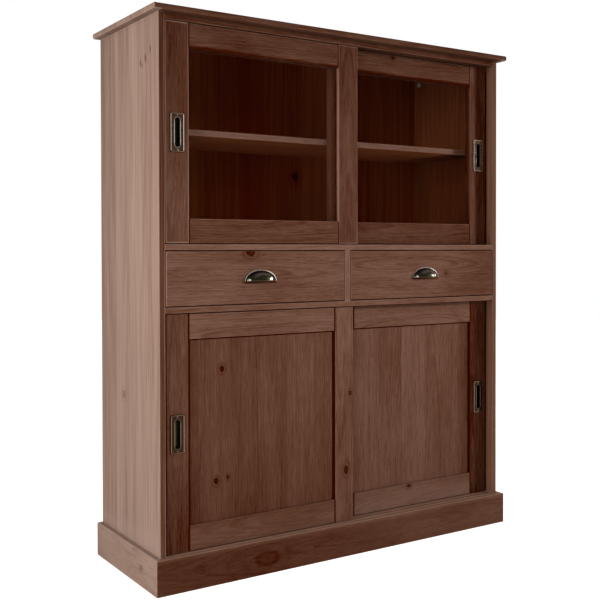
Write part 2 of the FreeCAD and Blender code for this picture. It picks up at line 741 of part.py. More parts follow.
def stile(label, door, left, with_pull):
    bay, height = door["bay"], door["height"]
    width = bay["stile"]
    x = door["x"] if left else f"{door['x']} + {door['width']} - {width}"
    body = new_body(label, (x, door["face"], door["z"]))
    if bay["glazed"]:
        wall = f"{width} - glass_rebate"
        outline = [("0", "0"), (width, "0"), (width, "glass_lip"), (wall, "glass_lip"),
                   (wall, "door_thickness"), ("0", "door_thickness")]
    else:
        wall = f"{width} - panel_groove"
        outline = [("0", "0"), (width, "0"), (width, groove_front), (wall, groove_front),
                   (wall, groove_back), (width, groove_back), (width, "door_thickness"),
                   ("0", "door_thickness")]
    sketch = new_sketch(body, "XY")
    draw_polygon(sketch, outline if left else mirrored(outline, width))
    pad(body, sketch, height)
    dress(body, "Chamfer", "arris", upright_on_front)
    if bay["glazed"]:
        mortises = new_sketch(body, "YZ", wall if left else "glass_rebate")
        half_fit = "joint_fit / 2"
        for rail_width, start, at_bottom in ((bay["bottom"], "0", True),
                                             (bay["top"], f"{height} - {bay['top']}", False)):
            low, high = tenon_levels(rail_width, at_bottom)
            draw_rectangle(mortises, (f"{tenon_front} - {half_fit}", f"{start} + {low} - {half_fit}"),
                           (f"{tenon_back} + {half_fit}", f"{start} + {high} + {half_fit}"))
        pocket(body, mortises, "tenon_length + joint_fit", not left)
    inset = "glide_inset" if left else f"{width} - glide_inset"
    for offset, inwards in ((None, True), (height, False)):
        plugs = new_sketch(body, "XY", offset)
        draw_circles(plugs, [(inset, "door_thickness / 2")], "plug_diameter + joint_fit")
        pocket(body, plugs, "plug_length + joint_fit", inwards)
    if with_pull:
        cup = new_sketch(body, "XZ")
        draw_slot(cup, (f"{width} / 2", f"{height} / 2"), f"pull_slot_width + {pull_pocket_wall}",
                  f"pull_slot_height + {pull_pocket_wall}")
        pocket(body, cup, "pull_depth + pull_fit")
    return body


def tenon_levels(rail, at_bottom):
    # Lower and upper limit of a tenon on a glazed door's rail, above the rail's lower edge.
    if at_bottom:
        return "tenon_shoulder", f"{rail} - glass_rebate - tenon_shoulder"
    return "glass_rebate + tenon_shoulder", f"{rail} - tenon_shoulder"


def rail(label, door, at_bottom):
    bay = door["bay"]
    width = bay["bottom"] if at_bottom else bay["top"]
    z = door["z"] if at_bottom else f"{door['z']} + {door['height']} - {width}"
    opening = f"({door['width']} - 2 * {bay['stile']})"
    inner = f"{door['x']} + {bay['stile']}"
    if bay["glazed"]:
        length = f"({opening} + 2 * glass_rebate)"
        body = new_body(label, (f"{inner} - glass_rebate", door["face"], z))
        far = f"{length} - glass_rebate"
        outline = [("glass_rebate", "0"), (far, "0"), (far, "glass_lip"), (length, "glass_lip"),
                   (length, "door_thickness"), ("0", "door_thickness"), ("0", "glass_lip"),
                   ("glass_rebate", "glass_lip")]
        cut = (("glass_lip", "door_thickness"), "glass_rebate")
        tenon_y, tenon_z = (tenon_front, tenon_back), tenon_levels(width, at_bottom)
        tenon_length = "tenon_length"
    else:
        length = opening
        body = new_body(label, (inner, door["face"], z))
        outline = [("0", "0"), (length, "0"), (length, "door_thickness"), ("0", "door_thickness")]
        cut = ((groove_front, groove_back), "panel_groove")
        tenon_y = (f"{groove_front} + joint_fit / 2", f"{groove_back} - joint_fit / 2")
        tenon_z = ("0", f"{width} - panel_groove") if at_bottom else ("panel_groove", width)
        tenon_length = "panel_groove - joint_fit"
    sketch = new_sketch(body, "XY")
    draw_polygon(sketch, outline)
    pad(body, sketch, width)
    dress(body, "Chamfer", "arris", lengthwise_on_front)
    seat = new_sketch(body, "YZ")
    (cut_front, cut_back), cut_height = cut
    cut_low, cut_high = (f"{width} - {cut_height}", width) if at_bottom else ("0", cut_height)
    draw_rectangle(seat, (cut_front, cut_low), (cut_back, cut_high))
    pocket(body, seat, length, True)
    for offset, outwards in ((None, True), (length, False)):
        tenon = new_sketch(body, "YZ", offset)
        draw_rectangle(tenon, (tenon_y[0], tenon_z[0]), (tenon_y[1], tenon_z[1]))
        pad(body, tenon, tenon_length, outwards)
    return body


def door_opening(door):
    # Lower and upper limits, along X and Z, of the opening in a door's frame.
    bay = door["bay"]
    x = (f"({door['x']} + {bay['stile']})", f"({door['x']} + {door['width']} - {bay['stile']})")
    z = (f"({door['z']} + {bay['bottom']})", f"({door['z']} + {door['height']} - {bay['top']})")
    return x, z


def glazing(name, door):
    # A pane in the rear rebate and the four beads that hold it.
    x, z = door_opening(door)
    edge = "(glass_rebate - glass_play)"
    pane_front = f"({door['face']} + glass_lip)"
    pane_back = f"({pane_front} + glass_thickness)"
    pane = block(f"{name}_glass", (f"{x[0]} - {edge}", f"{x[1]} + {edge}"), (pane_front, pane_back),
                 (f"{z[0]} - {edge}", f"{z[1]} + {edge}"))
    bead_y = (pane_back, f"{door['face']} + door_thickness")
    full_x = (f"{x[0]} - glass_rebate", f"{x[1]} + glass_rebate")
    beads = [block("bead", full_x, bead_y, limits) for limits in
             ((f"{z[0]} - glass_rebate", z[0]), (z[1], f"{z[1]} + glass_rebate"))]
    beads += [block("bead", limits, bead_y, z) for limits in
              ((f"{x[0]} - glass_rebate", x[0]), (x[1], f"{x[1]} + glass_rebate"))]
    return [pane, group(f"{name}_glazing_beads", beads)]


def panelling(name, door):
    x, z = door_opening(door)
    edge = "(panel_groove - panel_play)"
    face = f"{door['face']} + panel_setback + joint_fit / 2"
    return [plate(f"{name}_panel", (f"{x[0]} - {edge}", f"{x[1]} + {edge}"),
                  (face, f"{face} + panel_thickness"), (f"{z[0]} - {edge}", f"{z[1]} + {edge}"))]


def glides(label, door):
    # Under each stile a keel in the floor track, on top of it a pin in the head track.
    middle = f"({door['face']} + door_thickness / 2)"
    under = door["z"]
    over = f"({door['z']} + {door['height']})"
    keel_y = (f"{middle} - track_width / 2 + track_fit", f"{middle} + track_width / 2 - track_fit")
    keel_z = (f"{under} - door_bottom_gap - floor_track_depth + track_fit", under)
    pieces = []
    for x in (f"({door['x']} + glide_inset)", f"({door['x']} + {door['width']} - glide_inset)"):
        keel = block("keel", (f"{x} - glide_length / 2", f"{x} + glide_length / 2"), keel_y, keel_z)
        plug = rod("Z", (x, middle, under), "plug_diameter", "plug_length")
        pieces.append(combine("Fuse", "glide", keel, plug))
        plug = rod("Z", (x, middle, f"{over} - plug_length"), "plug_diameter", "plug_length")
        pin = rod("Z", (x, middle, over), "track_width - 2 * track_fit", "door_top_gap + guide_reach")
        pieces.append(combine("Fuse", "guide", plug, pin))
    return group(label, pieces)


def sliding_door(name, bay, left):
    # Left doors run in the front track and right doors in the rear one.
    door = {
        "bay": bay,
        "width": f"({inside} - door_side_gap + {bay['overlap']} / 2)",
        "height": f"({bay['clear']} - door_bottom_gap - door_top_gap)",
        "x": f"(door_side_gap - {inside})" if left else f"(-{bay['overlap']} / 2)",
        "face": front_door_face if left else rear_door_face,
        "z": f"({bay['floor']} + door_bottom_gap)",
    }
    reach = f"({inside} - door_side_gap - {bay['stile']} / 2)"
    pull_level = f"({door['z']} + {door['height']} / 2)"
    infill = glazing if bay["glazed"] else panelling
    return [
        stile(f"{name}_left_stile", door, True, left),
        stile(f"{name}_right_stile", door, False, not left),
        rail(f"{name}_top_rail", door, False),
        rail(f"{name}_bottom_rail", door, True),
        *infill(name, door),
        flush_pull(f"{name}_flush_pull", f"(-{reach})" if left else reach, door["face"], pull_level),
        glides(f"{name}_glides", door),
    ]


def write_parts(nodes):
    doc.recompute()
    for thing in doc.Objects:
        if "Invalid" in thing.State or "Error" in thing.State:
            raise RuntimeError(f"{thing.Label} failed: {thing.State}")
    for node in nodes:
        if node.Shape.isNull() or not node.Shape.isValid():
            raise RuntimeError(f"{node.Label} has no valid shape")
    os.makedirs("parts", exist_ok=True)
    for node in nodes:
        node.Shape.exportStep(f"parts/{node.Label}.step")


fill_sheet()
write_parts([
    top_board(),
    side_panel("left_side_panel", True),
    side_panel("right_side_panel", False),
    *carcass_decks(),
    drawer_divider(),
    *back_panels(),
    *plinth(),
    shelf("display_shelf"),
    shelf("base_shelf"),
    drawer_runners(),
    carcass_dowels(),
    cam_locks(),
    *sliding_door("upper_left_door", display_bay, True),
    *sliding_door("upper_right_door", display_bay, False),
    *sliding_door("lower_left_door", base_bay, True),
    *sliding_door("lower_right_door", base_bay, False),
    *drawer("left_drawer"),
    *drawer("right_drawer"),
])
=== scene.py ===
import math
import random

import bmesh
import bpy
from mathutils import Matrix, Vector


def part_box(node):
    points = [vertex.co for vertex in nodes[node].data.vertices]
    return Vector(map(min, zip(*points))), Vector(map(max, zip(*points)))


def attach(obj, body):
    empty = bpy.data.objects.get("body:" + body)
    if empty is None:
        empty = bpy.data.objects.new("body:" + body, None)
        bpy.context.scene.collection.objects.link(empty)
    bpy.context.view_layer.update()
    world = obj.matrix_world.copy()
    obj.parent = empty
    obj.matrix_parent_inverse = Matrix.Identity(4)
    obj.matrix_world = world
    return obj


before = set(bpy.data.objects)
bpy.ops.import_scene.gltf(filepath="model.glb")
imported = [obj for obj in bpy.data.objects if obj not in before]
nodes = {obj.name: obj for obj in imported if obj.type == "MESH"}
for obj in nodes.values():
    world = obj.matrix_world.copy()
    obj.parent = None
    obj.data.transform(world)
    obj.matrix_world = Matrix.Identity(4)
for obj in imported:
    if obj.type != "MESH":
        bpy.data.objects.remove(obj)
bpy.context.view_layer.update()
mm = 0.001
axes = "xyz"
toLeft, toRight = (-1, 0, 0), (1, 0, 0)
toFront, toRear = (0, -1, 0), (0, 1, 0)
toTop, toUnder = (0, 0, 1), (0, 0, -1)
doorNames = ("upper_left_door", "upper_right_door", "lower_left_door", "lower_right_door")
drawerNames = ("left_drawer", "right_drawer")


def linear(hexColour):
    # sRGB hex to the linear values that shader sockets take
    parts = [int(hexColour[i:i + 2], 16) / 255 for i in (1, 3, 5)]
    return tuple(c / 12.92 if c <= 0.04045 else ((c + 0.055) / 1.055) ** 2.4 for c in parts) + (1.0,)


def setInputs(node, inputs):
    # Inputs come by socket name, or as a list in the sockets' order; a socket is linked, a value is set
    for socket, value in inputs.items() if isinstance(inputs, dict) else enumerate(inputs):
        if isinstance(value, bpy.types.NodeSocket):
            node.id_data.links.new(value, node.inputs[socket])
        else:
            node.inputs[socket].default_value = value


def addNode(tree, kind, inputs=(), ramp=(), **settings):
    # An operation follows the kind after a dot; gives the first output that the settings leave in use
    kind, *operation = kind.split(".")
    node = tree.nodes.new("ShaderNode" + kind)
    if operation:
        node.operation = operation[0]
    for name, value in settings.items():
        setattr(node, name, value)
    setInputs(node, inputs)
    if ramp:
        stops = node.color_ramp.elements
        while len(stops) < len(ramp):
            stops.new(0.5)
        for stop, (place, level) in zip(stops, ramp):
            stop.position = place
            stop.color = linear(level) if isinstance(level, str) else (level, level, level, 1.0)
    return next(output for output in node.outputs if output.enabled)


def newMaterial(name):
    material = bpy.data.materials.new(name)
    material.use_nodes = True
    tree = material.node_tree
    return material, tree, tree.nodes["Principled BSDF"]


def dress(node, material):
    slots = nodes[node].data.materials
    slots.clear()
    slots.append(material)


def addObject(name, data):
    thing = bpy.data.objects.new(name, data)
    bpy.context.scene.collection.objects.link(thing)
    return thing


def meshOf(name, shape):
    mesh = bpy.data.meshes.new(name)
    shape.to_mesh(mesh)
    shape.free()
    return mesh


# Stained pine: plain-sawn softwood, wiped with walnut stain and sealed with a matt lacquer.  The eye gets
# soft streaks along the grain, faint flames of growth lines, glued-up strips of unlike tone, brown knots
# that the lines flow round, paler arrises that are partly rubbed stain and partly painted highlights, and
# dark lines that are partly stain gathered in joints and partly painted shade in gaps and beside sunk
# panels.  Some faces and zones also get painted light or painted shade.
# Each tone is a list of stops from the palest to the darkest stain.
stained = [(0, "#856558"), (0.5, "#5D3D2E"), (0.85, "#3C1403"), (1, "#360E03")]
stainedSide = [(0, "#A0887C"), (0.5, "#8A7265"), (1, "#573B2F")]  # the sides took less stain
stainAndLightLedge = [(0, "#A8907F"), (0.5, "#967D71"), (1, "#573B2F")]  # ledges of the side plinths, paler: painted light on their top faces
stainAndLightSill = [(0, "#90705E"), (0.5, "#80604F"), (1, "#5A3C2E")]  # ledge of the front plinth, paler: painted light on its top face
stainAndLightFloor = [(0, "#A88270"), (0.5, "#94705C"), (1, "#6A4636")]  # paler top face of the base board: painted light on the floor of the lower bay
stainAndBounceInside = [(0, "#DC8450"), (0.5, "#AA5B31"), (1, "#4A1C0A")]  # bright and warm: painted light that stands in for light bounced round the dim bay
stainAndShadeBelowShelf = [(0, "#B4622F"), (0.5, "#8A421D"), (1, "#381203")]  # below the shelf: darker than above it, painted shade of the shelf
stainedBay = [(0, "#7E5643"), (0.5, "#66402D"), (1, "#3C2012")]  # inner faces that only open doors show
# bright and warm: painted light on the shelf's dim underside
stainAndLightShelf = [(0, "#C0683B"), (0.5, "#914F2D"), (1, "#4A2210")]
stainAndLightLip = [(0, "#A67F71"), (0.5, "#926B5D"), (1, "#5A3628")]  # front edge of the shelf, paler: painted light, as the lamps reach it only dimly through the panes
stainedEdge = [(0, "#72442F"), (1, "#4A2414")]  # edge of the stile behind the left pane
stainedLining = [(0, "#80594A"), (0.5, "#6E4D3C"), (1, "#472B1F")]  # inner strip before the doors
paintedGapShadow = [(0, "#2E1004"), (1, "#1C0500")]  # painted shadow on the inner side right beside the doors
pineFinish = {
    "ringWidth": 6.5 * mm,
    "ringGain": 0.13,
    "ringMean": 0.22,
    "lateWood": [(0, 0.0), (0.4, 0.1), (0.82, 1), (0.92, 0.9), (1, 0.0)],  # darkness across one ring
    # width across the grain, how many times longer along it, and gain; real fibres and resin flecks are finer
    # than a pixel, so they are drawn about a pixel wide
    "fibre": (2.4 * mm, 15, 0.46),
    "fleck": (2.0 * mm, 9, 0.16),
    "streak": (8 * mm, 24, 0.2),
    "cloud": (50 * mm, 4, 0.42),
    "detail": 2.0,
    "fleckSpan": (0.58, 0.76),  # only the peaks of that pattern show
    "shift": 40,  # most shift of the patterns from board to board
    "wander": 7 * mm,  # how far a growth line strays from straight
    "wanderNoise": (65 * mm, 1.5),  # width and detail
    "ripple": 4 * mm,
    "rippleNoise": (24 * mm, 1.0),
    "slowLength": 7,  # both are so much longer along the grain
    "pithDepth": 10 * mm,  # least distance of the log's heart behind the face
    "pithDeeper": 4.5,  # most distance over the least
    "pithAside": 1.1,  # most offset of the heart from the middle, in half widths of the board
    "slant": 0.1,  # most lean of the heart along the board
    "leastSlant": 0.4,  # as a part of the most
    "stripGain": 0.2,
    "stripPith": (0.6, -1.6),  # range of the heart's place in strip widths
    "stripStep": 0.37,  # jump of the pattern from strip to strip, in metres
    "stripLot": 7.3,  # keeps the strips of two boards unlike
    "faceSlant": (0.7, 0.95),
    "rubWidth": 3.2 * mm,
    "rubGain": -0.35,
    "streakSpan": (0.3, 0.7),  # levels of the streaks with the least and the most wear and roughness
    "wear": (0.5, 1.0),
    "seamGain": 0.9,
    "seamCore": 0.4,  # part of a joint line that is full dark
    "specular": 0.0,  # the least sheen turns to white specks on boards seen edge on
    "roughness": (0.42, 0.58),
    "bump": 0.25,
    "bumpDepth": 0.25 * mm,
}
knotFinish = {
    "bark": (1.1, 0.9),  # scale and gain of the uneven outline
    "ringScale": 0.33,
    "rings": [(0.1, 0.9), (0.27, 0.5), (0.38, 1), (0.48, 0.22), (0.57, 0.0), (0.68, 0.26), (0.8, 0.04),
              (1, 0.0)],  # darkness from the heart outwards
    "bend": 0.85,  # how far growth lines are pushed aside, in radii
    "bendReach": (3, 1.7),  # along and across the grain, in radii
    "through": 10.0,  # a knot passes through the whole board
}
# The side panels were cut on the quarter, so their lines run straight, and they are seen so much aslant that
# every pattern is drawn wider
quarterCut = {
    "ringWidth": 17 * mm,
    "ringGain": 0.1,
    "fibre": (4.5 * mm, 60, 0.75),
    "fleck": (5 * mm, 12, 0.06),
    "streak": (14 * mm, 70, 0.11),
    "cloud": (90 * mm, 9, 0.14),
    "stripGain": 0.08,
    "wander": 3 * mm,
    "ripple": 2 * mm,
    "pithDepth": 400 * mm,
    "slant": 0.004,
}
# Calmer boards: door panels, boards with a fine grain, and boards near the floor
calmCut = {"ringGain": 0.09, "fibre": (2.4 * mm, 18, 0.4), "streak": (8 * mm, 26, 0.12),
           "cloud": (60 * mm, 4, 0.28), "stripGain": 0.09}
fineCut = {"fibre": (2.4 * mm, 15, 0.35)}
plinthCut = {"ringGain": 0.08, "fibre": (2.4 * mm, 15, 0.3), "streak": (8 * mm, 24, 0.12),
             "cloud": (50 * mm, 4, 0.26)}


def pine(name, box, grain, across, tone=stained, shade=0.5, strip=0.0, knots=(), faces=(), seams=(),
         fades=(), stains=(), otherFaces=(), cut=None, seed=0):
    # grain and across are axis letters; a knot is (across, along, radius, darkness, length over width), its
    # first three in mm of the part's frame; a face is (normal, added shade);
    # a limit is (axis letter, place of none, place of all) and may be left off;
    # a seam is (axis letter, place of a dark line, its half width, limit): stain in a joint, painted shade in a
    # gap;
    # a fade is (axis letter, place of no added shade, place of all, added shade);
    # a painted shadow is (centre, half size, reach, added shade) of a dark edge round a fitting in the front
    # plane;
    # otherFaces are (normal, tone, least and full slant of the mask, limit) of faces with another stain;
    # cut holds what differs from the usual finish
    finish = {**pineFinish, **(cut or {})}
    dice = random.Random(seed)
    material, tree, shader = newMaterial(name)
    centre, half = (box[0] + box[1]) / 2, (box[1] - box[0]) / 2
    along, side = axes.index(grain), axes.index(across)
    depth = 3 - along - side
    coords = addNode(tree, "TexCoord").node.outputs
    local = addNode(tree, "Mapping", {"Vector": coords["Object"], "Location": -centre})
    split = addNode(tree, "SeparateXYZ", [local]).node.outputs
    shift = [dice.uniform(-finish["shift"], finish["shift"]) for i in range(3)]
    darkening = []  # pairs of a pattern and its gain, added up to the shade

    def within(letter, nonePlace, allPlace):
        # From 0 to 1 along an axis of the part's frame
        axis = axes.index(letter)
        return addNode(tree, "MapRange", [split[axis], nonePlace - centre[axis], allPlace - centre[axis]])

    # Knots push the growth lines aside and darken their own place
    acrossNow = split[side]
    for knotAcross, knotAlong, radius, darkness, long in knots:
        place, size = Vector(), Vector()
        place[side], place[along] = knotAcross * mm - centre[side], knotAlong * mm - centre[along]
        size[side], size[along], size[depth] = radius * mm, radius * long * mm, knotFinish["through"]
        offset = addNode(tree, "Mapping", {"Vector": local, "Location": place, "Scale": size},
                         vector_type="TEXTURE")
        reach = addNode(tree, "VectorMath.LENGTH", [offset])
        barkScale, barkGain = knotFinish["bark"]
        bark = addNode(tree, "TexNoise", {"Vector": offset, "Scale": barkScale, "Detail": finish["detail"]})
        uneven = addNode(tree, "Math.MULTIPLY_ADD", [bark, barkGain, reach])
        uneven = addNode(tree, "Math.MULTIPLY", [uneven, knotFinish["ringScale"]])
        darkening.append((addNode(tree, "ValToRGB", [uneven], ramp=knotFinish["rings"]), darkness))
        reaches = [knotFinish["bendReach"][i != along] for i in range(3)]
        wide = addNode(tree, "Mapping", {"Vector": offset, "Scale": reaches}, vector_type="TEXTURE")
        square = addNode(tree, "VectorMath.DOT_PRODUCT", [wide, wide])
        fade = addNode(tree, "Math.POWER", [math.exp(-1), square])
        lean = addNode(tree, "SeparateXYZ", [offset]).node.outputs[side]
        push = addNode(tree, "Math.MULTIPLY", [lean, fade])
        bend = -knotFinish["bend"] * radius * mm
        acrossNow = addNode(tree, "Math.MULTIPLY_ADD", [push, bend, acrossNow])

    # Slow wander of the growth lines
    stretch = [1 / finish["slowLength"] if i == along else 1.0 for i in range(3)]
    slow = addNode(tree, "Mapping", {"Vector": local, "Scale": stretch, "Location": shift})
    width, detail = finish["wanderNoise"]
    drift = addNode(tree, "TexNoise", {"Vector": slow, "Scale": 1 / width, "Detail": detail})
    wandering = addNode(tree, "MapRange", [drift, 0, 1, -finish["wander"], finish["wander"]])
    acrossNow = addNode(tree, "Math.ADD", [acrossNow, wandering])

    # Each glued strip is its own cut of a log: pith, slant and tone differ
    alongNow = split[along]
    if strip:
        start = dice.uniform(0, 1)
        steps = addNode(tree, "Math.MULTIPLY_ADD", [split[side], 1 / strip, start])
        number = addNode(tree, "Math.FLOOR", [steps])
        lot = addNode(tree, "Math.ADD", [number, seed * finish["stripLot"]])
        chance = addNode(tree, "TexWhiteNoise", {"W": lot}, noise_dimensions="1D").node.outputs["Color"]
        draw = addNode(tree, "SeparateColor", [chance]).node.outputs
        unlike = addNode(tree, "Math.SUBTRACT", [draw[2], 0.5])
        darkening.append((unlike, finish["stripGain"]))
        alongNow = addNode(tree, "Math.MULTIPLY_ADD", [number, finish["stripStep"], alongNow])
        stripStart = addNode(tree, "Math.MULTIPLY_ADD", [number, -strip, start * strip])
        nearest, farthest = (part * strip for part in finish["stripPith"])
        pithPlace = addNode(tree, "MapRange", [draw[0], 0, 1, nearest, farthest])
        pithPlace = addNode(tree, "Math.ADD", [stripStart, pithPlace])
        slant = addNode(tree, "MapRange", [draw[1], 0, 1, -finish["slant"], finish["slant"]])
        deepest = finish["pithDeeper"] * finish["pithDepth"]
        pithDepth = addNode(tree, "MapRange", [draw[2], 0, 1, finish["pithDepth"], deepest])
    else:
        pithPlace = dice.uniform(-finish["pithAside"], finish["pithAside"]) * half[side]
        slant = dice.uniform(finish["leastSlant"], 1) * finish["slant"] * dice.choice((-1, 1))
        pithDepth = dice.uniform(1, finish["pithDeeper"]) * finish["pithDepth"]
    fromPith = addNode(tree, "Math.ADD", [acrossNow, pithPlace])
    inward = addNode(tree, "Math.MULTIPLY_ADD", [split[along], slant, split[depth]])
    inward = addNode(tree, "Math.ADD", [inward, pithDepth])
    flow = addNode(tree, "CombineXYZ", {along: alongNow, side: acrossNow, depth: split[depth]})

    # Growth lines: late wood ends each ring sharply, and some rings hardly show
    width, detail = finish["rippleNoise"]
    ripple = addNode(tree, "TexNoise", {"Vector": slow, "Scale": 1 / width, "Detail": detail})
    flat = addNode(tree, "CombineXYZ", [fromPith, inward])
    fromHeart = addNode(tree, "VectorMath.LENGTH", [flat])
    fromHeart = addNode(tree, "Math.MULTIPLY_ADD", [ripple, finish["ripple"], fromHeart])
    rings = addNode(tree, "Math.MULTIPLY", [fromHeart, 1 / finish["ringWidth"]])
    phase = addNode(tree, "Math.FRACT", [rings])
    lateWood = addNode(tree, "ValToRGB", [phase], ramp=finish["lateWood"])
    ringNumber = addNode(tree, "Math.FLOOR", [rings])
    ringChance = addNode(tree, "TexWhiteNoise", {"W": ringNumber}, noise_dimensions="1D")
    ringLine = addNode(tree, "Math.MULTIPLY", [lateWood, ringChance])
    ringShade = addNode(tree, "Math.SUBTRACT", [ringLine, finish["ringMean"]])
    darkening.append((ringShade, finish["ringGain"]))

    # Fibres, stain streaks and clouds
    patterns = {}
    for key in ("fibre", "fleck", "streak", "cloud"):
        width, long, gain = finish[key]
        stretch = [1 / long if i == along else 1.0 for i in range(3)]
        drawn = addNode(tree, "Mapping", {"Vector": flow, "Location": shift, "Scale": stretch})
        noise = addNode(tree, "TexNoise", {"Vector": drawn, "Scale": 1 / width, "Detail": finish["detail"]})
        patterns[key] = noise
        if key == "fleck":
            noise = addNode(tree, "MapRange", [noise, *finish["fleckSpan"]])
        else:
            noise = addNode(tree, "Math.SUBTRACT", [noise, 0.5])
        darkening.append((noise, gain))

    # Faces drawn darker or paler: stain, and painted light or painted shade on door edges and beads
    for normal, gain in faces:
        facing = addNode(tree, "VectorMath.DOT_PRODUCT", [coords["Normal"], normal])
        darkening.append((addNode(tree, "MapRange", [facing, *finish["faceSlant"]]), gain))

    # Paler arrises, partly rubbed stain and partly painted highlight: the second smallest distance to the
    # board's faces is the distance to its nearest edge
    folded = addNode(tree, "VectorMath.ABSOLUTE", [local])
    gaps = addNode(tree, "VectorMath.SUBTRACT", [half, folded])
    gap = addNode(tree, "SeparateXYZ", [gaps]).node.outputs
    low = addNode(tree, "Math.MINIMUM", [gap[0], gap[1]])
    high = addNode(tree, "Math.MAXIMUM", [gap[0], gap[1]])
    high = addNode(tree, "Math.MINIMUM", [high, gap[2]])
    edge = addNode(tree, "Math.MAXIMUM", [low, high])
    paleArris = addNode(tree, "MapRange", [edge, 0, finish["rubWidth"], 1, 0], interpolation_type="SMOOTHSTEP")
    wearAndGlint = addNode(tree, "MapRange", [patterns["streak"], *finish["streakSpan"], *finish["wear"]])
    darkening.append((addNode(tree, "Math.MULTIPLY", [paleArris, wearAndGlint]), finish["rubGain"]))

    # Dark lines: stain gathered in joints, and painted shade in gaps and beside sunk panels
    for letter, place, width, *limit in seams:
        axis = axes.index(letter)
        aside = addNode(tree, "Math.SUBTRACT", [split[axis], place - centre[axis]])
        aside = addNode(tree, "Math.ABSOLUTE", [aside])
        line = addNode(tree, "MapRange", [aside, finish["seamCore"] * width, width, 1, 0],
                       interpolation_type="SMOOTHSTEP")
        if limit:
            line = addNode(tree, "Math.MULTIPLY", [line, within(*limit[0])])
        darkening.append((line, finish["seamGain"]))

    # Painted shadow round a fitting
    for place, size, reach, gain in stains:
        offset = addNode(tree, "VectorMath.SUBTRACT", [coords["Object"], place])
        offset = addNode(tree, "VectorMath.ABSOLUTE", [offset])
        outside = addNode(tree, "VectorMath.SUBTRACT", [offset, size])
        sides = addNode(tree, "SeparateXYZ", [outside]).node.outputs
        outside = addNode(tree, "Math.MAXIMUM", [sides[0], sides[2]])
        darkening.append((addNode(tree, "MapRange", [outside, 0, reach, 1, 0]), gain))

    # Shade that grows along the board
    for letter, clearPlace, fullPlace, gain in fades:
        darkening.append((within(letter, clearPlace, fullPlace), gain))

    level = shade
    for pattern, gain in darkening:
        level = addNode(tree, "Math.MULTIPLY_ADD", [pattern, gain, level])
    colour = addNode(tree, "ValToRGB", [level], ramp=tone)
    for normal, otherTone, slants, *limit in otherFaces:
        facing = addNode(tree, "VectorMath.DOT_PRODUCT", [coords["Normal"], normal])
        other = addNode(tree, "ValToRGB", [level], ramp=otherTone)
        turned = addNode(tree, "MapRange", [facing, *slants])
        if limit:
            turned = addNode(tree, "Math.MULTIPLY", [turned, within(*limit[0])])
        colour = addNode(tree, "MixRGB", [turned, colour, other])
    rough = addNode(tree, "MapRange", [patterns["streak"], *finish["streakSpan"], *finish["roughness"]])
    height = addNode(tree, "Math.ADD", [patterns["fibre"], ringLine])
    bump = addNode(tree, "Bump", {"Strength": finish["bump"], "Distance": finish["bumpDepth"],
                                  "Height": height})
    setInputs(shader, {"Base Color": colour, "Roughness": rough, "Normal": bump,
                       "Specular IOR Level": finish["specular"]})
    return material


# Grain and face axes of every stained board, its shade and the knots that show
glued = 88 * mm
flatBoard = dict(grain="x", across="y", strip=glued)
frontBoard = dict(grain="x", across="z")
doorPanel = dict(grain="z", across="x", strip=glued, cut=calmCut)
# Least and full slant of the masks of faces with another stain
squareOn, edgeOn, topOn = (0.7, 0.95), (0.6, 0.8), (0.5, 0.8)
endOn, underOn, notOuter, rearOn = (0.2, 0.5), (0.4, 0.7), (-0.6, -0.3), (0.5, 0.9)
sidePanel = dict(tone=stainedSide, grain="z", across="y", strip=glued)
sidePlinth = dict(tone=stainedSide, grain="y", across="z", otherFaces=[(toTop, stainAndLightLedge, topOn)])
# a darker strip is glued on at the rear; the foot is paler, painted light against the shade by the plinth
leftFades = [("y", 0.0, -0.18, 0.14), ("y", 0.092, 0.098, 0.15), ("z", 0.5, 0.15, -0.08),
             ("z", 0.15, 0.09, -0.15)]
leftKnots = [(-102, 1334, 3.2, 0.9, 2.2), (-72, 1325, 2.6, 0.8, 2.6), (-132, 1351, 2.6, 0.7, 2.6),
             (-83, 1317, 2.2, 0.6, 2.0), (45, 468, 9, 0.4, 1.3)]
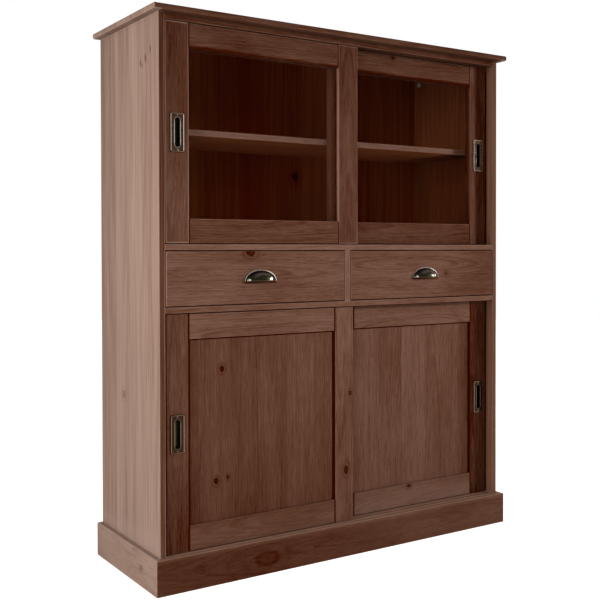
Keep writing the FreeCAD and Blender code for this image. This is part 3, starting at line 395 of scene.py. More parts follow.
# below the base board the sides are stained like their outer faces
footLimit = ("z", 0.095, 0.085)
leftFaces = [(toRight, stainedBay, squareOn), (toRight, stainedSide, squareOn, footLimit),
             (toFront, stained, edgeOn)]
# The right side's inner face: a bright, warm tone in the bay, painted bounce light; darker below the shelf,
# painted shade; the lower bay's tone; a painted shadow right beside the doors; a strip before the doors; the
# outer tone at the foot
rightFaces = [
    (toLeft, paintedGapShadow, squareOn),
    (toLeft, stainAndBounceInside, squareOn, ("y", -0.147, -0.143)),
    (toLeft, stainAndShadeBelowShelf, squareOn, ("z", 1.160, 1.140)),
    (toLeft, stainedBay, squareOn, ("z", 0.860, 0.850)),
    (toLeft, paintedGapShadow, squareOn, ("y", -0.143, -0.147)),
    (toLeft, stainedLining, notOuter, ("y", -0.1505, -0.1545)),
    (toLeft, stainedSide, squareOn, footLimit),
]
# The top board's ends take the sides' tone and are paler underneath, painted light under the overhang; its
# front edge darkens towards the top, painted shade on the rounding
nosing = [(toLeft, stainedSide, endOn), (toRight, stainedSide, endOn)]
nosing += [(toUnder, stainedSide, underOn, ("x", way * 0.570, way * 0.574)) for way in (-1, 1)]
# Where a board's cut strengthens the pale arris, as on the left side and the drawer divider, it is a painted
# highlight along the edge
boards = {
    "top_board": dict(
        flatBoard, shade=0.6, otherFaces=nosing, faces=[(toTop, -0.5)], fades=[("z", 1.4455, 1.4495, 0.35)]),
    "left_side_panel": dict(
        sidePanel, cut={**quarterCut, "rubGain": -0.7}, fades=leftFades, otherFaces=leftFaces, knots=leftKnots),
    "right_side_panel": dict(
        sidePanel, cut=quarterCut, otherFaces=rightFaces,
        fades=[("y", 0.12, -0.06, 0.18), ("z", 0.5, 0.2, -0.12)]),
    "display_deck": dict(flatBoard, shade=0.32),
    "drawer_deck": dict(flatBoard, shade=0.34),
    "base_board": dict(flatBoard, shade=0.45, otherFaces=[(toTop, stainAndLightFloor, topOn)]),
    "top_track_rail": dict(grain="x", across="y", shade=0.64),
    "drawer_divider": dict(grain="z", across="x", shade=0.33, cut={"rubGain": -0.8}),
    # The front plinth's top is paler, painted light on its ledge
    "plinth_front": dict(
        frontBoard, shade=0.69, knots=[(40, -272, 24, 0.16, 1.8)], cut=plinthCut,
        otherFaces=[(toTop, stainAndLightSill, topOn)], fades=[("z", 0.077, 0.086, -0.16), ("x", -0.35, 0.55, -0.2)]),
    "plinth_left": dict(sidePlinth, knots=[(47, -98, 7, 0.4, 1.35)]),
    "plinth_right": sidePlinth,
    # The shelf is paler towards the back, painted light where its underside gets least light, and darker at its
    # right end, a painted shadow of the right door's stile
    "display_shelf": dict(
        flatBoard, tone=stainAndLightShelf, otherFaces=[(toFront, stainAndLightLip, edgeOn)],
        fades=[("y", -0.12, 0.15, -0.5), ("x", 0.435, 0.455, 0.45)]),
    "base_shelf": dict(flatBoard, shade=0.45),
    "left_drawer_front": dict(frontBoard, shade=0.4, knots=[(843, -312, 10, 0.7, 1.35)]),
    "right_drawer_front": dict(
        frontBoard, shade=0.39, fades=[("x", 0.3, 0.5, 0.14)], cut=fineCut, knots=[(780, 363, 6, 0.4, 1.35)]),
    # The lower panels darken towards the bottom, painted shade of the lamps' falloff, and towards their stiles,
    # painted shade beside the frame
    "lower_left_door_panel": dict(
        doorPanel, shade=0.53, fades=[("z", 0.36, 0.12, 0.14), ("x", -0.43, -0.49, 0.1)],
        knots=[(-393, 545, 7, 0.8, 1.3), (-411, 258, 7, 0.8, 1.3), (-376, 264, 5, 0.4, 1.3)]),
    "lower_right_door_panel": dict(
        doorPanel, shade=0.41, fades=[("x", 0.43, 0.49, 0.3), ("x", 0.08, 0.045, 0.08)]),
}
# Shades of each door's members; the right doors' right stiles are darker, painted shade that deepens
# the side panel's shadow on them
frameMembers = ("left_stile", "right_stile", "top_rail", "bottom_rail", "glazing_beads")
frameShades = {
    "upper_left_door": (0.49, 0.48, 0.58, 0.57, 0.5),
    "upper_right_door": (0.36, 0.79, 0.56, 0.62, 0.5),
    "lower_left_door": (0.52, 0.4, 0.42, 0.46),
    "lower_right_door": (0.4, 0.76, 0.37, 0.2),
}
frameKnots = {
    "lower_left_door_right_stile": [(10, 449, 6, 0.45, 1.3), (-4, 235, 7.5, 0.75, 1.8)],
    "lower_right_door_bottom_rail": [(150, 245, 6, 0.6, 1.3)],
    "upper_right_door_top_rail": [(1408, 185, 6, 0.45, 1.3)],
}
# Fades darken the upper stiles towards the top and the lower stiles towards the bottom, painted shade of the
# lamps' falloff; the upper top rails darken to their lower edge, painted shade on a bevel there; the upper
# right door's right stile is paler on its left, painted light beside the side panel's shadow
frameFades = {
    "upper_left_door_left_stile": [("z", 1.0, 1.4, 0.2)],
    "upper_left_door_right_stile": [("z", 1.0, 1.4, 0.12), ("x", 0.01, -0.02, 0.05)],
    "upper_left_door_top_rail": [("z", 1.363, 1.355, 0.4)],
    "upper_right_door_top_rail": [("z", 1.364, 1.356, 0.55)],
    "upper_right_door_right_stile": [("x", 0.516, 0.502, -0.27)],
    "lower_left_door_right_stile": [("z", 0.62, 0.4, 0.04)],
    "lower_left_door_left_stile": [("z", 0.4, 0.1, 0.2)],
    "lower_left_door_bottom_rail": [("z", 0.105, 0.157, 0.1)],
    "lower_right_door_bottom_rail": [("z", 0.1, 0.15, 0.22)],
}
plain = {"rubGain": -0.1}  # pale arris, partly a painted highlight, hardly drawn
frameCuts = {f"{doorName}_{side}_stile": plain for doorName in doorNames for side in ("left", "right")}
# The upper left door's stiles have stronger pale arrises: painted highlights along their edges
frameCuts.update({
    "upper_left_door_left_stile": {
        "rubGain": -1.2, "rubWidth": 4.2 * mm, "ringGain": 0.08, "streak": (8 * mm, 24, 0.1)},
    "upper_left_door_right_stile": {"rubGain": -0.8, "rubWidth": 3 * mm},
    "lower_left_door_top_rail": fineCut,
    "lower_left_door_bottom_rail": {**plinthCut, **plain},
    "lower_right_door_bottom_rail": {**plinthCut, **plain},
})
jointsAndShading = {
    # Half widths of dark lines: stain in the joints at the rails' ends; round the panels stain in the joint and
    # a painted shadow of the frame on the sunk panel
    "half": {"upper": 3.4 * mm, "lower": 5.5 * mm},
    "leftHalf": {"lower_left_door": 10 * mm, "lower_right_door": 4 * mm},
    "rightHalf": 9 * mm,
    "topHalf": 3.4 * mm,
    "railHalf": 1.8 * mm,  # painted shade under the lower doors' top rails, above the sunk panels
    "gapHalf": 2.4 * mm,
    # painted light on the upper doors' stile edge faces, painted shade on the lower doors'
    "edgeShade": {"upper": -0.3, "lower": 0.6},
    # painted light on the beads' inner faces behind the panes
    "beadShade": -0.45,
    "innerEdgeShade": 0.25,  # painted shade on the inner edge of the upper right door's right stile
    # painted shadow round the flush pulls: its reach and added shade
    "pullReach": 2.5 * mm,
    "pullShade": 0.45,
}
for doorName, shades in frameShades.items():
    leftEnd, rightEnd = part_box(f"{doorName}_left_stile")[1].x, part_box(f"{doorName}_right_stile")[0].x
    level = doorName.split("_")[0]
    ends = [("x", place, jointsAndShading["half"][level]) for place in (leftEnd, rightEnd)]
    edgeFaces = [(normal, jointsAndShading["edgeShade"][level]) for normal in (toLeft, toRight)]
    low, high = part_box(f"{doorName}_flush_pull")
    # Painted shadow round each door's flush pull
    pullShadow = ((low + high) / 2, (high - low) / 2, jointsAndShading["pullReach"], jointsAndShading["pullShade"])
    for member, shade in zip(frameMembers, shades):
        boardName = f"{doorName}_{member}"
        board = dict(shade=shade, knots=frameKnots.get(boardName, ()), fades=frameFades.get(boardName, ()),
                     cut=frameCuts.get(boardName))
        if member.endswith("stile"):
            board.update(grain="z", across="x", faces=edgeFaces, stains=[pullShadow])
        else:
            board.update(frontBoard, seams=ends)
        if member == "top_rail" and level == "lower":
            board["seams"] = ends + [("z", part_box(boardName)[0].z, jointsAndShading["railHalf"])]
        # The beads' inner faces also get the warm inside tone, painted light behind the panes
        if member == "glazing_beads":
            board.update(faces=[(toLeft, jointsAndShading["beadShade"])], otherFaces=[(toLeft, stainAndBounceInside, edgeOn)])
        boards[boardName] = board
    # Dark lines round each panel: stain in the joint and a painted shadow of the frame on the sunk panel
    if f"{doorName}_panel" in boards:
        boards[f"{doorName}_panel"]["seams"] = [
            ("x", leftEnd, jointsAndShading["leftHalf"][doorName]), ("x", rightEnd, jointsAndShading["rightHalf"]),
            ("z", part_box(f"{doorName}_top_rail")[0].z, jointsAndShading["topHalf"])]
boards["upper_right_door_right_stile"]["faces"] = [(toLeft, jointsAndShading["innerEdgeShade"])]
boards["upper_right_door_left_stile"]["otherFaces"] = [
    (normal, stainedEdge, edgeOn) for normal in (toLeft, toFront)]
# Painted shade in the gap between the lower left door and the left side
boards["lower_left_door_left_stile"]["seams"] = [
    ("x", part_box("lower_left_door_left_stile")[0].x, jointsAndShading["gapHalf"])]
# Painted shade along the lower front arris of decks and drawer fronts, over the dark gaps below them;
# the left drawer's left end is paler
lowerArris = {"half": 1.8 * mm, "depth": (8 * mm, 3 * mm), "paleEnd": (3.5 * mm, 1.5 * mm, -0.5)}
for boardName in ("display_deck", "drawer_deck", "left_drawer_front", "right_drawer_front"):
    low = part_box(boardName)[0]
    limit = ("y", *(low.y + step for step in lowerArris["depth"]))
    boards[boardName]["seams"] = [("z", low.z, lowerArris["half"], limit)]
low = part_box("left_drawer_front")[0]
start, full, gain = lowerArris["paleEnd"]
boards["left_drawer_front"]["fades"] = [("x", low.x + start, low.x + full, gain)]
# Painted shadow under each cup pull on its drawer front
cupShadow = {"drop": 1.5 * mm, "inset": 3 * mm, "thick": 1.5 * mm, "reach": 5 * mm, "shade": 0.5}
for drawerName in drawerNames:
    low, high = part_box(f"{drawerName}_cup_pull")
    centre = Vector(((low.x + high.x) / 2, low.y, low.z - cupShadow["drop"]))
    size = Vector(((high.x - low.x) / 2 - cupShadow["inset"], 0, cupShadow["thick"]))
    boards[f"{drawerName}_front"]["stains"] = [(centre, size, cupShadow["reach"], cupShadow["shade"])]
for number, (boardName, board) in enumerate(boards.items()):
    dress(boardName, pine(f"stainedPine.{boardName}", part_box(boardName), seed=number + 3, **board))
print("stained pine:", len(boards), "boards")

# Back panels: thin plywood under a heavy coat of the same stain, so they read as deep red-brown inside
stainedBack = [(0, "#8A431C"), (0.5, "#6C2206"), (0.96, "#600800"), (1, "#340400")]
stainedRear = [(0, "#7C5744"), (0.5, "#6F4A38"), (1, "#5C3A2B")]  # thinner coat on the face to the wall
backBoard = dict(
    grain="z", across="x", strip=160 * mm, otherFaces=[(toRear, stainedRear, rearOn)],
    cut={**quarterCut, "ringWidth": 14 * mm, "ringGain": 0.4, "streak": (11 * mm, 70, 0.7)},
    fades=[("x", -0.22, -0.29, -0.35), ("x", 0.03, 0.12, -0.3), ("x", 0.24, 0.33, 0.17)])
backs = {
    "upper_back_panel": dict(backBoard, tone=stainedBack, knots=[(67, 1080, 13, 1.2, 1.2)], seed=90),
    "lower_back_panel": dict(backBoard, tone=stainedBay, seed=91),
}
for boardName, board in backs.items():
    dress(boardName, pine(f"stainedPlywood.{boardName}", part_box(boardName), **board))

# Drawer boxes and runners: planed pine left pale, oiled only
planed = [(0, "#E3C39B"), (0.5, "#CDA272"), (1, "#8A5A30")]
boxGrain = {"left_side": "yz", "right_side": "yz", "back": "xz", "bottom": "xy"}
boxSeed = {"left_drawer": 31, "right_drawer": 0}
for drawerName in drawerNames:
    for member, (grain, across) in boxGrain.items():
        boardName = f"{drawerName}_{member}"
        dress(boardName, pine(f"planedPine.{boardName}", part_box(boardName), grain, across, tone=planed,
                              seed=len(boardName) + boxSeed[drawerName]))
dress("drawer_runners", pine("planedPine.runners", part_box("drawer_runners"), "y", "z", tone=planed, seed=77))
dress("carcass_dowels", pine("beechDowel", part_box("carcass_dowels"), "x", "z", tone=planed, seed=78))
print("backs, drawer boxes and runners dressed")

# Clear float glass: a clean thin sheet that lets light through and shows only a faint sheen when seen aslant
glass = {"tint": "#F7F9F8", "ior": 1.04, "roughness": 0.0, "lampPassed": 0.4}


def floatGlass():
    material, tree, shader = newMaterial("clearFloatGlass")
    setInputs(shader, {"Base Color": linear(glass["tint"]), "Transmission Weight": 1.0, "IOR": glass["ior"],
                       "Roughness": glass["roughness"]})
    path = addNode(tree, "LightPath").node.outputs
    lampOrBounce = addNode(tree, "Math.MAXIMUM", [path["Is Shadow Ray"], path["Is Diffuse Ray"]])
    passed = addNode(tree, "MapRange", [path["Is Shadow Ray"], 0, 1, 1, glass["lampPassed"]])
    clear = addNode(tree, "BsdfTransparent", {"Color": passed})
    mixed = addNode(tree, "MixShader", [lampOrBounce, shader.outputs[0], clear])
    setInputs(tree.nodes["Material Output"], {"Surface": mixed})
    return material


paneMaterial = floatGlass()
for doorName in doorNames[:2]:
    dress(f"{doorName}_glass", paneMaterial)
print("panes glazed")

# Antique brass: cast brass with a dark brown patina under lacquer, rubbed bright on what stands proud,
# with painted highlights and painted reflections where lamps would show in it; its screws are rubbed by
# the driver, so they are a little brighter than the plates round them.
# Nylon: moulded brown glides.  Zinc: bright-plated screws with a cool grey sheen, and cams of dull die-cast
# zinc, which scatter the light of the bay instead of mirroring it.
# Each has tones in patches of a width, and a roughness: one value, or (levels of the patches, values there).
fittings = {
    "antiqueBrass": dict(tones=[(0, "#33251C"), (1, "#463427")], width=9 * mm, detail=1.5,
                         rough=(0.3, 0.7, 0.2, 0.32), metallic=1.0),
    "screwBrass": dict(tones=[(0.3, "#463427"), (0.7, "#7C6A57")], width=2 * mm, detail=2.0,
                       rough=(0, 1, 0.2, 0.32), metallic=1.0),
    "nylon": dict(tones=[(0, "#3A2A20"), (1, "#2C1F17")], width=4 * mm, detail=2.0, rough=0.5, metallic=0.0),
    "platedZinc": dict(tones=[(0, "#B9BCBE"), (1, "#8E9194")], width=2.5 * mm, detail=2.0,
                       rough=(0, 1, 0.28, 0.5), metallic=1.0),
    "castZinc": dict(tones=[(0, "#F0E6DC"), (1, "#CDBFB2")], width=2.5 * mm, detail=2.0,
                     rough=(0, 1, 0.5, 0.65), metallic=0.2),
}
camCap = {"tone": "#4E3528", "span": (-0.135, -0.125)}  # heads before this place are under painted caps
flushPull = {
    # tones of the left and right border and of the slot's rim, rubbed and with painted highlights that
    # differ from door to door as the lamps fall; tone of the slot; how much duller the ends are; and
    # painted light and shade on the left and right of the plate
    "upper_left_door": ("#BFA68F", "#DCC8B2", "#ABA59C", "#22231B", 0.2, (1.0, 1.0)),
    "upper_right_door": ("#6A5F55", "#C4B19D", "#4E453C", "#3A2A1C", 0.7, (0.45, 2.0)),
    "lower_left_door": ("#7E6B56", "#957F66", "#746650", "#30291C", 0.4, (0.6, 0.6)),
    "lower_right_door": ("#8A7660", "#6A5A4A", "#6A5C4A", "#2C281C", 0.6, (0.6, 0.6)),
    "border": (16.3 * mm, 16.8 * mm),  # from the pull's middle line to the rubbed crest of its border
    "ends": (46.3 * mm, 46.8 * mm),
    "corner": (44.5 * mm, 46.5 * mm),
    "slotHalf": 29.5 * mm,  # half length of the slot's straight part
    "rim": (9.4 * mm, 8.8 * mm),
    "rimEnds": (24 * mm, 34 * mm),
    "rimLeast": 0.3,
    "proud": (0.7 * mm, 0.2 * mm),
    "deep": (1.5 * mm, 4 * mm),
    "middle": (-1 * mm, 1 * mm),
}
cupPull = {
    # dark patina with painted reflection bands, from below the cup's mouth to its arched rim
    "dome": [(0, "#16130A"), (0.3, "#1A170D"), (0.52, "#201C11"), (0.6, "#120E08"), (0.68, "#45392F"),
             (0.78, "#3C3129"), (0.85, "#110D09"), (1, "#0E0B08")],
    "olive": "#1B1809",  # the cup near its mouth
    "oliveReach": (0.25, 0.5),  # as parts of the cup's height
    "below": 0.35,  # how far under its mouth the bands are centred, as a part of the cup's height
    "cloud": 0.1,
    "through": 10.0,  # bands and painted highlights reach through the whole cup
    # painted highlights at the lower corners: place and half size as parts of half width and height, and
    # strength
    "wearAndGlint": [(-0.81, 0.09, 0.06, 0.1, 1.0), (0.5, 0.23, 0.08, 0.13, 0.5)],
    "glintSpan": (0.5, 1.2),
    "glintTone": "#D2C8B8",
    "lip": "#6E5C4D",
    "lipHeight": 1.5 * mm,
    "flange": {"left_drawer": ("#BCAA9C", "#84716A"), "right_drawer": ("#9A8B7E", "#78665E")},
    "flangeGlint": "#E6DAD0",  # painted highlight on the right end
    "flangeSpan": (0.25, 0.8),  # where that starts and is full across the cup
    "flangeThick": (1.9 * mm, 1.5 * mm),
    "coat": 0.12,
    "coatRoughness": 0.1,
}


def mottled(name, kind):
    fitting = fittings[kind]
    material, tree, shader = newMaterial(name)
    coords = addNode(tree, "TexCoord").node.outputs["Object"]
    patches = addNode(tree, "TexNoise", {"Vector": coords, "Scale": 1 / fitting["width"],
                                         "Detail": fitting["detail"]})
    colour = addNode(tree, "ValToRGB", [patches], ramp=fitting["tones"])
    rough = fitting["rough"]
    if isinstance(rough, tuple):
        rough = addNode(tree, "MapRange", [patches, *rough])
    setInputs(shader, {"Base Color": colour, "Roughness": rough, "Metallic": fitting["metallic"]})
    return material, tree, shader, coords, patches, colour


def flushPullBrass(doorName):
    # Crests of border and slot rim are lighter along the sides and duller at the ends, partly rubbed and
    # partly painted highlight; the plate is painted lighter or darker to its left and right; the slot is dark
    low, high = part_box(f"{doorName}_flush_pull")
    middle = (low + high) / 2
    left, right, rim, slot, least, plateLight = flushPull[doorName]
    material, tree, shader, coords, patches, colour = mottled(f"antiqueBrass.{doorName}", "antiqueBrass")
    place = addNode(tree, "SeparateXYZ", [coords]).node.outputs
    offset = addNode(tree, "VectorMath.SUBTRACT", [coords, middle])
    offset = addNode(tree, "VectorMath.ABSOLUTE", [offset])
    aside = addNode(tree, "SeparateXYZ", [offset]).node.outputs
    beyond = addNode(tree, "Math.SUBTRACT", [aside[2], flushPull["slotHalf"]])
    beyond = addNode(tree, "Math.MAXIMUM", [beyond, 0.0])
    fromSlot = addNode(tree, "CombineXYZ", [aside[0], beyond])
    fromSlot = addNode(tree, "VectorMath.LENGTH", [fromSlot])
    # a mask has a place, where its span starts, and its levels at both ends of the span
    masks = {
        "border": (aside[0], 0, 0, 1),
        "corner": (aside[2], 0, 1, least),
        "ends": (aside[2], 0, 0, least),
        "rim": (fromSlot, 0, 0, 1),
        "rimEnds": (aside[2], 0, 1, flushPull["rimLeast"]),
        "proud": (place[1], low.y, 0, 1),
        "deep": (place[1], low.y, 0, 1),
        "middle": (place[0], middle.x, 0, 1),
    }
    for key, (value, origin, *levels) in masks.items():
        span = [origin + step for step in flushPull[key]]
        masks[key] = addNode(tree, "MapRange", [value, *span, *levels])
    for key, other, operation in (("border", "corner", "MULTIPLY"), ("border", "ends", "MAXIMUM"),
                                  ("border", "proud", "MULTIPLY"), ("rim", "rimEnds", "MULTIPLY"),
                                  ("rim", "proud", "MULTIPLY")):
        masks[key] = addNode(tree, f"Math.{operation}", [masks[key], masks[other]])
    plateLight = addNode(tree, "MapRange", [masks["middle"], 0, 1, *plateLight])
    colour = addNode(tree, "VectorMath.SCALE", {0: colour, "Scale": plateLight})
    edge = addNode(tree, "MixRGB", [masks["middle"], linear(left), linear(right)])
    for key, tone in (("border", edge), ("rim", linear(rim)), ("deep", linear(slot))):
        colour = addNode(tree, "MixRGB", [masks[key], colour, tone])
    setInputs(shader, {"Base Color": colour})
    return material


def cupPullBrass(drawerName):
    # Patina under painted reflection bands arched over the cup, painted highlights at its lower corners
    # and on the flange's right end; the flange and the lip are lighter
    low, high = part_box(f"{drawerName}_cup_pull")
    material, tree, shader, coords, patches, colour = mottled(f"antiqueBrass.{drawerName}", "antiqueBrass")
    place = addNode(tree, "SeparateXYZ", [coords]).node.outputs
    height = high.z - low.z
    centre = ((low.x + high.x) / 2, high.y, low.z - cupPull["below"] * height)
    reach = ((high.x - low.x) / 2, cupPull["through"], (1 + cupPull["below"]) * height)
    arch = addNode(tree, "Mapping", {"Vector": coords, "Location": centre, "Scale": reach},
                   vector_type="TEXTURE")
    arch = addNode(tree, "VectorMath.LENGTH", [arch])
    cloud = addNode(tree, "Math.SUBTRACT", [patches, 0.5])
    arch = addNode(tree, "Math.MULTIPLY_ADD", [cloud, cupPull["cloud"], arch])
    bands = addNode(tree, "ValToRGB", [arch], ramp=cupPull["dome"])
    banded = addNode(tree, "MapRange", [place[2], *(low.z + part * height for part in cupPull["oliveReach"])])
    colour = addNode(tree, "MixRGB", [banded, linear(cupPull["olive"]), bands])
    for across, up, wide, tall, strength in cupPull["wearAndGlint"]:
        spot = (centre[0] + across * reach[0], high.y, low.z + up * height)
        spread = (wide * reach[0], cupPull["through"], tall * height)
        near = addNode(tree, "Mapping", {"Vector": coords, "Location": spot, "Scale": spread},
                       vector_type="TEXTURE")
        near = addNode(tree, "VectorMath.LENGTH", [near])
        glint = addNode(tree, "MapRange", [near, *cupPull["glintSpan"], strength, 0])
        colour = addNode(tree, "MixRGB", [glint, colour, linear(cupPull["glintTone"])])
    lip = addNode(tree, "MapRange", [place[2], low.z, low.z + cupPull["lipHeight"], 1, 0])
    colour = addNode(tree, "MixRGB", [lip, colour, linear(cupPull["lip"])])
    risen = addNode(tree, "MapRange", [place[2], low.z, high.z])
    flangeTone = addNode(tree, "MixRGB", [risen, *map(linear, cupPull["flange"][drawerName])])
    rightEnd = addNode(tree, "MapRange",
                       [place[0], *(centre[0] + part * reach[0] for part in cupPull["flangeSpan"])])
    flangeTone = addNode(tree, "MixRGB", [rightEnd, flangeTone, linear(cupPull["flangeGlint"])])
    flange = addNode(tree, "MapRange", [place[1], *(high.y - thick for thick in cupPull["flangeThick"])])
    colour = addNode(tree, "MixRGB", [flange, colour, flangeTone])
    setInputs(shader, {"Base Color": colour, "Coat Weight": cupPull["coat"],
                       "Coat Roughness": cupPull["coatRoughness"]})
    return material


def cappedZinc():
    material, tree, shader, coords, patches, colour = mottled("dieCastZinc", "castZinc")
    forward = addNode(tree, "SeparateXYZ", [coords]).node.outputs[1]
    hidden = addNode(tree, "MapRange", [forward, *camCap["span"], 1, 0])
    setInputs(shader, {"Base Color": addNode(tree, "MixRGB", [hidden, colour, linear(camCap["tone"])])})
    return material


nylonMaterial = mottled("mouldedNylon", "nylon")[0]
zincBright = mottled("platedZinc", "platedZinc")[0]
screwBrass = mottled("antiqueBrass.screws", "screwBrass")[0]
for doorName in doorNames:
    dress(f"{doorName}_flush_pull", flushPullBrass(doorName))
    dress(f"{doorName}_glides", nylonMaterial)
for drawerName in drawerNames:
    dress(f"{drawerName}_cup_pull", cupPullBrass(drawerName))
dress("cam_locks", cappedZinc())
print("pulls, glides and cams dressed")

# Small fasteners: slotted brass screws in the flush pulls, heads of the cup pulls' bolts inside the drawer
# fronts, and zinc cross-head screws that hold the back panels
fasteners = {
    "sizes": ("radius", "rise", "slot", "reach", "depth", "soft"),  # of each kind of head, in mm
    "pullScrew": (2.4, 0.6, 0.7, 6, 0.3, 0.3),
    "pullBolt": (3.8, 2.2, 1.0, 5, 0.9, 1.2),
    "backScrew": (3.2, 1.0, 0.9, 4, 0.6, 0.5),
    "segments": 24,
    "rimSegments": 3,
    "landLevel": 0.9,  # faces above this part of the slot's floor are tops
    "rimLevel": 0.99,  # edges above these parts of the rise and the radius are the rim
    "rimRadius": 0.98,
    "weld": 0.001 * mm,
    "sunk": 0.2 * mm,  # how far a head sits in its seat
    "plateFace": 0.9 * mm,  # behind the front of a flush pull's border
    "pullSpread": 43 * mm,
    "boltSpread": 32 * mm,
    "boltHeight": 7 * mm,
    "backInset": 4 * mm,
    "backColumns": [-480, -240, 0, 240, 480],
    "backRows": {"upper_back_panel": [861, 1153], "lower_back_panel": [82, 388, 700, 852]},
    "backEdges": {"upper_back_panel": [930, 1040, 1260, 1370],
                  "lower_back_panel": [180, 290, 490, 600, 780]},
    "seeds": {"pullScrew": 40, "pullBolt": 50, "backScrew": 60},
}


def raiseFaces(head, faces, height):
    made = bmesh.ops.extrude_face_region(head, geom=faces)["geom"]
    verts = [v for v in made if isinstance(v, bmesh.types.BMVert)]
    bmesh.ops.translate(head, verts=verts, vec=(0, 0, height))


def screwHead(kind):
    # A round head seen from above, with a slot or a cross left low and a soft rim
    head = bmesh.new()
    bmesh.ops.create_circle(head, cap_ends=True, segments=fasteners["segments"], radius=kind["radius"])
    crossed = kind["reach"] < 2 * kind["radius"]
    for normal in ((0, 1, 0), (1, 0, 0)) if crossed else ((0, 1, 0),):
        for cut in (kind["slot"], kind["reach"]) if crossed else (kind["slot"],):
            for side in (-0.5, 0.5):
                everything = head.verts[:] + head.edges[:] + head.faces[:]
                bmesh.ops.bisect_plane(head, geom=everything, plane_co=Vector(normal) * side * cut,
                                       plane_no=normal)
    floor = kind["rise"] - kind["depth"]
    raiseFaces(head, head.faces[:], floor)
    lands = []
    for face in head.faces:
        middle = face.calc_center_median()
        narrow, wide = sorted((abs(middle.x), abs(middle.y)))
        inSlot = abs(middle.y) < kind["slot"] / 2
        if crossed:
            inSlot = narrow < kind["slot"] / 2 and wide < kind["reach"] / 2
        if middle.z > fasteners["landLevel"] * floor and not inSlot:
            lands.append(face)
    raiseFaces(head, lands, kind["depth"])
    rim = [e for e in head.edges if all(v.co.z > fasteners["rimLevel"] * kind["rise"]
                                        and v.co.xy.length > fasteners["rimRadius"] * kind["radius"]
                                        for v in e.verts)]
    bmesh.ops.bevel(head, geom=rim, offset=kind["soft"], offset_type="OFFSET",
                    segments=fasteners["rimSegments"], profile=0.5, affect="EDGES", material=-1)
    bmesh.ops.remove_doubles(head, verts=head.verts[:], dist=fasteners["weld"])
    bmesh.ops.recalc_face_normals(head, faces=head.faces[:])
    return meshOf("screwHead", head)


def driveScrews(name, kind, number, places, backwards, body, material):
    # Heads look to the front, or to the back where backwards is set; each slot stops at its own angle
    dice = random.Random(fasteners["seeds"][kind] + number)
    head = screwHead({key: size * mm for key, size in zip(fasteners["sizes"], fasteners[kind])})
    shape = bmesh.new()
    turn = Matrix.Rotation(math.radians(-90 if backwards else 90), 4, "X")
    sink = Matrix.Translation((0, 0, -fasteners["sunk"]))
    for place in places:
        before = len(shape.verts)
        shape.from_mesh(head)
        shape.verts.ensure_lookup_table()
        spin = Matrix.Rotation(dice.uniform(0, math.pi), 4, "Z")
        bmesh.ops.transform(shape, matrix=Matrix.Translation(place) @ turn @ spin @ sink,
                            verts=shape.verts[before:])
    bpy.data.meshes.remove(head)
    piece = addObject(name, meshOf(name, shape))
    piece.data.materials.append(material)
    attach(piece, body)


for number, doorName in enumerate(doorNames):
    low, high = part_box(f"{doorName}_flush_pull")
    middle = (low + high) / 2
    places = [(middle.x, low.y + fasteners["plateFace"], middle.z + way * fasteners["pullSpread"])
              for way in (-1, 1)]
    driveScrews(f"{doorName}_pull_screws", "pullScrew", number, places, False, doorName, screwBrass)
for number, drawerName in enumerate(drawerNames):
    low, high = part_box(f"{drawerName}_cup_pull")
    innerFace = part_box(f"{drawerName}_front")[1].y
    middle = (low + high) / 2
    places = [(middle.x + way * fasteners["boltSpread"], innerFace, low.z + fasteners["boltHeight"])
              for way in (-1, 1)]
    driveScrews(f"{drawerName}_pull_bolts", "pullBolt", number, places, True, drawerName, zincBright)
for number, (panelName, rows) in enumerate(fasteners["backRows"].items()):
    low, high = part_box(panelName)
    places = [(x * mm, high.y, z * mm) for z in rows for x in fasteners["backColumns"]]
    places += [(side, high.y, z * mm) for z in fasteners["backEdges"][panelName]
               for side in (low.x + fasteners["backInset"], high.x - fasteners["backInset"])]
    driveScrews(f"{panelName}_screws", "backScrew", number, places, True, "carcass", zincBright)
print("screws driven")

# Camera of the photograph
view = {
    "place": (-1.5379, -2.2895, 0.8497),
    "lens": 56.17,
    "sensor": 36.0,
    "pitch": -0.872,
    "roll": -0.096,
    "yaw": 33.157,
    "shiftY": -0.0593,
}


def makeCamera():
    data = bpy.data.cameras.new("photoCamera")
    data.lens = view["lens"]
    data.sensor_width = view["sensor"]
    data.shift_y = view["shiftY"]
    camera = addObject("photoCamera", data)
    camera.location = view["place"]
    turn = Matrix.Rotation(math.radians(-view["yaw"]), 4, "Z")
    tilt = Matrix.Rotation(math.radians(90 + view["pitch"]), 4, "X")
    lean = Matrix.Rotation(math.radians(view["roll"]), 4, "Z")
    camera.rotation_euler = (turn @ tilt @ lean).to_euler()
    bpy.context.scene.camera = camera


makeCamera()

# Two softboxes, a tall one on the left side and a far one in front on the right, and a dim room
lamps = {
    "leftSoftbox": dict(place=(-2.3, -0.42, 0.95), aim=(-0.57, -0.42, 0.95), size=(0.4, 1.8), watts=14,
                        spread=96),
    "rightSoftbox": dict(place=(7.37, -4.74, 2.4), aim=(-0.12, -0.18, 0.72), size=(1.3, 1.5), watts=8.6,
                         spread=16.5),
}
room = {
    "fills": [dict(way=(-0.7, -0.7, 0.2), peak=1.7, focus=8), dict(way=(0.6, 0.75, 0.3), peak=1.0, focus=1)],
    "fillRound": 0.1,
    "floorBounce": 0.25,
    "white": 1.0,
    "floor": "#E9E7E4",
    "floorRadius": 9.0,
    "floorSegments": 96,
    "floorGlow": 0.8,
    "fade": (1.2, 2.6),  # distance from the part where the floor starts and ends turning white
}


def makeLamps():
    for name, lamp in lamps.items():
        data = bpy.data.lights.new(name, "AREA")
        data.shape = "RECTANGLE"
        data.size, data.size_y = lamp["size"]
        data.energy = lamp["watts"]
        data.spread = math.radians(lamp["spread"])
        light = addObject(name, data)
        light.location = lamp["place"]
        toAim = Vector(lamp["aim"]) - Vector(lamp["place"])
        light.rotation_euler = toAim.to_track_quat("-Z", "Y").to_euler()
        light.visible_camera = False


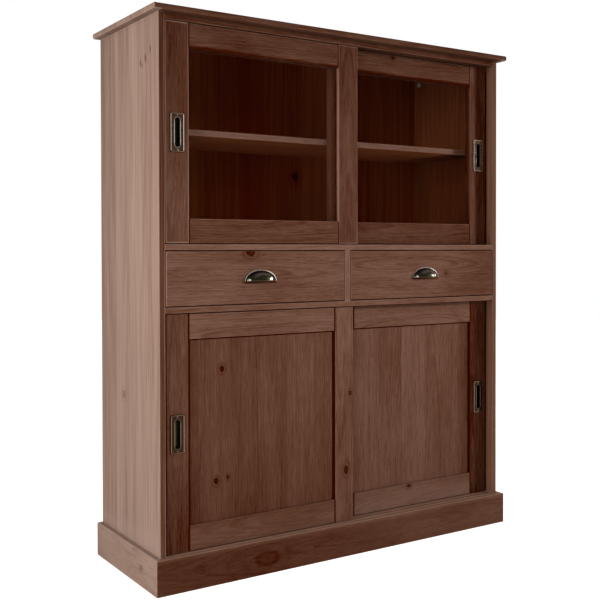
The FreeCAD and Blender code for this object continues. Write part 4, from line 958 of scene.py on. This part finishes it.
def seenDirectly(tree):
    path = addNode(tree, "LightPath").node.outputs
    both = addNode(tree, "Math.MAXIMUM", [path["Is Camera Ray"], path["Is Glossy Ray"]])
    return addNode(tree, "Math.MAXIMUM", [both, path["Is Transmission Ray"]])


def makeRoom():
    world = bpy.data.worlds.new("studio")
    bpy.context.scene.world = world
    world.use_nodes = True
    world.cycles.sampling_method = "NONE"
    tree = world.node_tree
    tree.nodes.clear()
    way = addNode(tree, "TexCoord")
    fill = room["fillRound"]
    for lobe in room["fills"]:
        middle = Vector(lobe["way"]).normalized()
        facing = addNode(tree, "VectorMath.DOT_PRODUCT", [way, middle])
        facing = addNode(tree, "Math.MAXIMUM", [facing, 0.0])
        facing = addNode(tree, "Math.POWER", [facing, lobe["focus"]])
        fill = addNode(tree, "Math.MULTIPLY_ADD", [facing, lobe["peak"], fill])
    strength = addNode(tree, "MapRange", [seenDirectly(tree), 0, 1, fill, room["white"]])
    light = addNode(tree, "Background", {"Color": (1, 1, 1, 1), "Strength": strength})
    setInputs(tree.nodes.new("ShaderNodeOutputWorld"), {"Surface": light})


def makeFloor():
    shape = bmesh.new()
    bmesh.ops.create_circle(shape, cap_ends=True, segments=room["floorSegments"], radius=room["floorRadius"])
    floor = addObject("paleFloor", meshOf("paleFloor", shape))
    material, tree, shader = newMaterial("paintedStudioFloor")
    tree.nodes.remove(shader)
    matt = addNode(tree, "BsdfDiffuse", {"Color": linear(room["floor"])})
    coords = addNode(tree, "TexCoord").node.outputs["Object"]
    distance = addNode(tree, "VectorMath.LENGTH", [coords])
    far = addNode(tree, "MapRange", [distance, *room["fade"], room["floorGlow"], 1],
                  interpolation_type="SMOOTHSTEP")
    seen = addNode(tree, "MapRange", [seenDirectly(tree), 0, 1, room["floorBounce"], far])
    glow = addNode(tree, "Emission", {"Color": (1, 1, 1, 1), "Strength": seen})
    both = addNode(tree, "AddShader", [matt, glow])
    setInputs(tree.nodes["Material Output"], {"Surface": both})
    floor.data.materials.append(material)


makeLamps()
makeRoom()
makeFloor()
bpy.context.scene.view_settings.view_transform = "Standard"
print("camera, lamps and floor set")
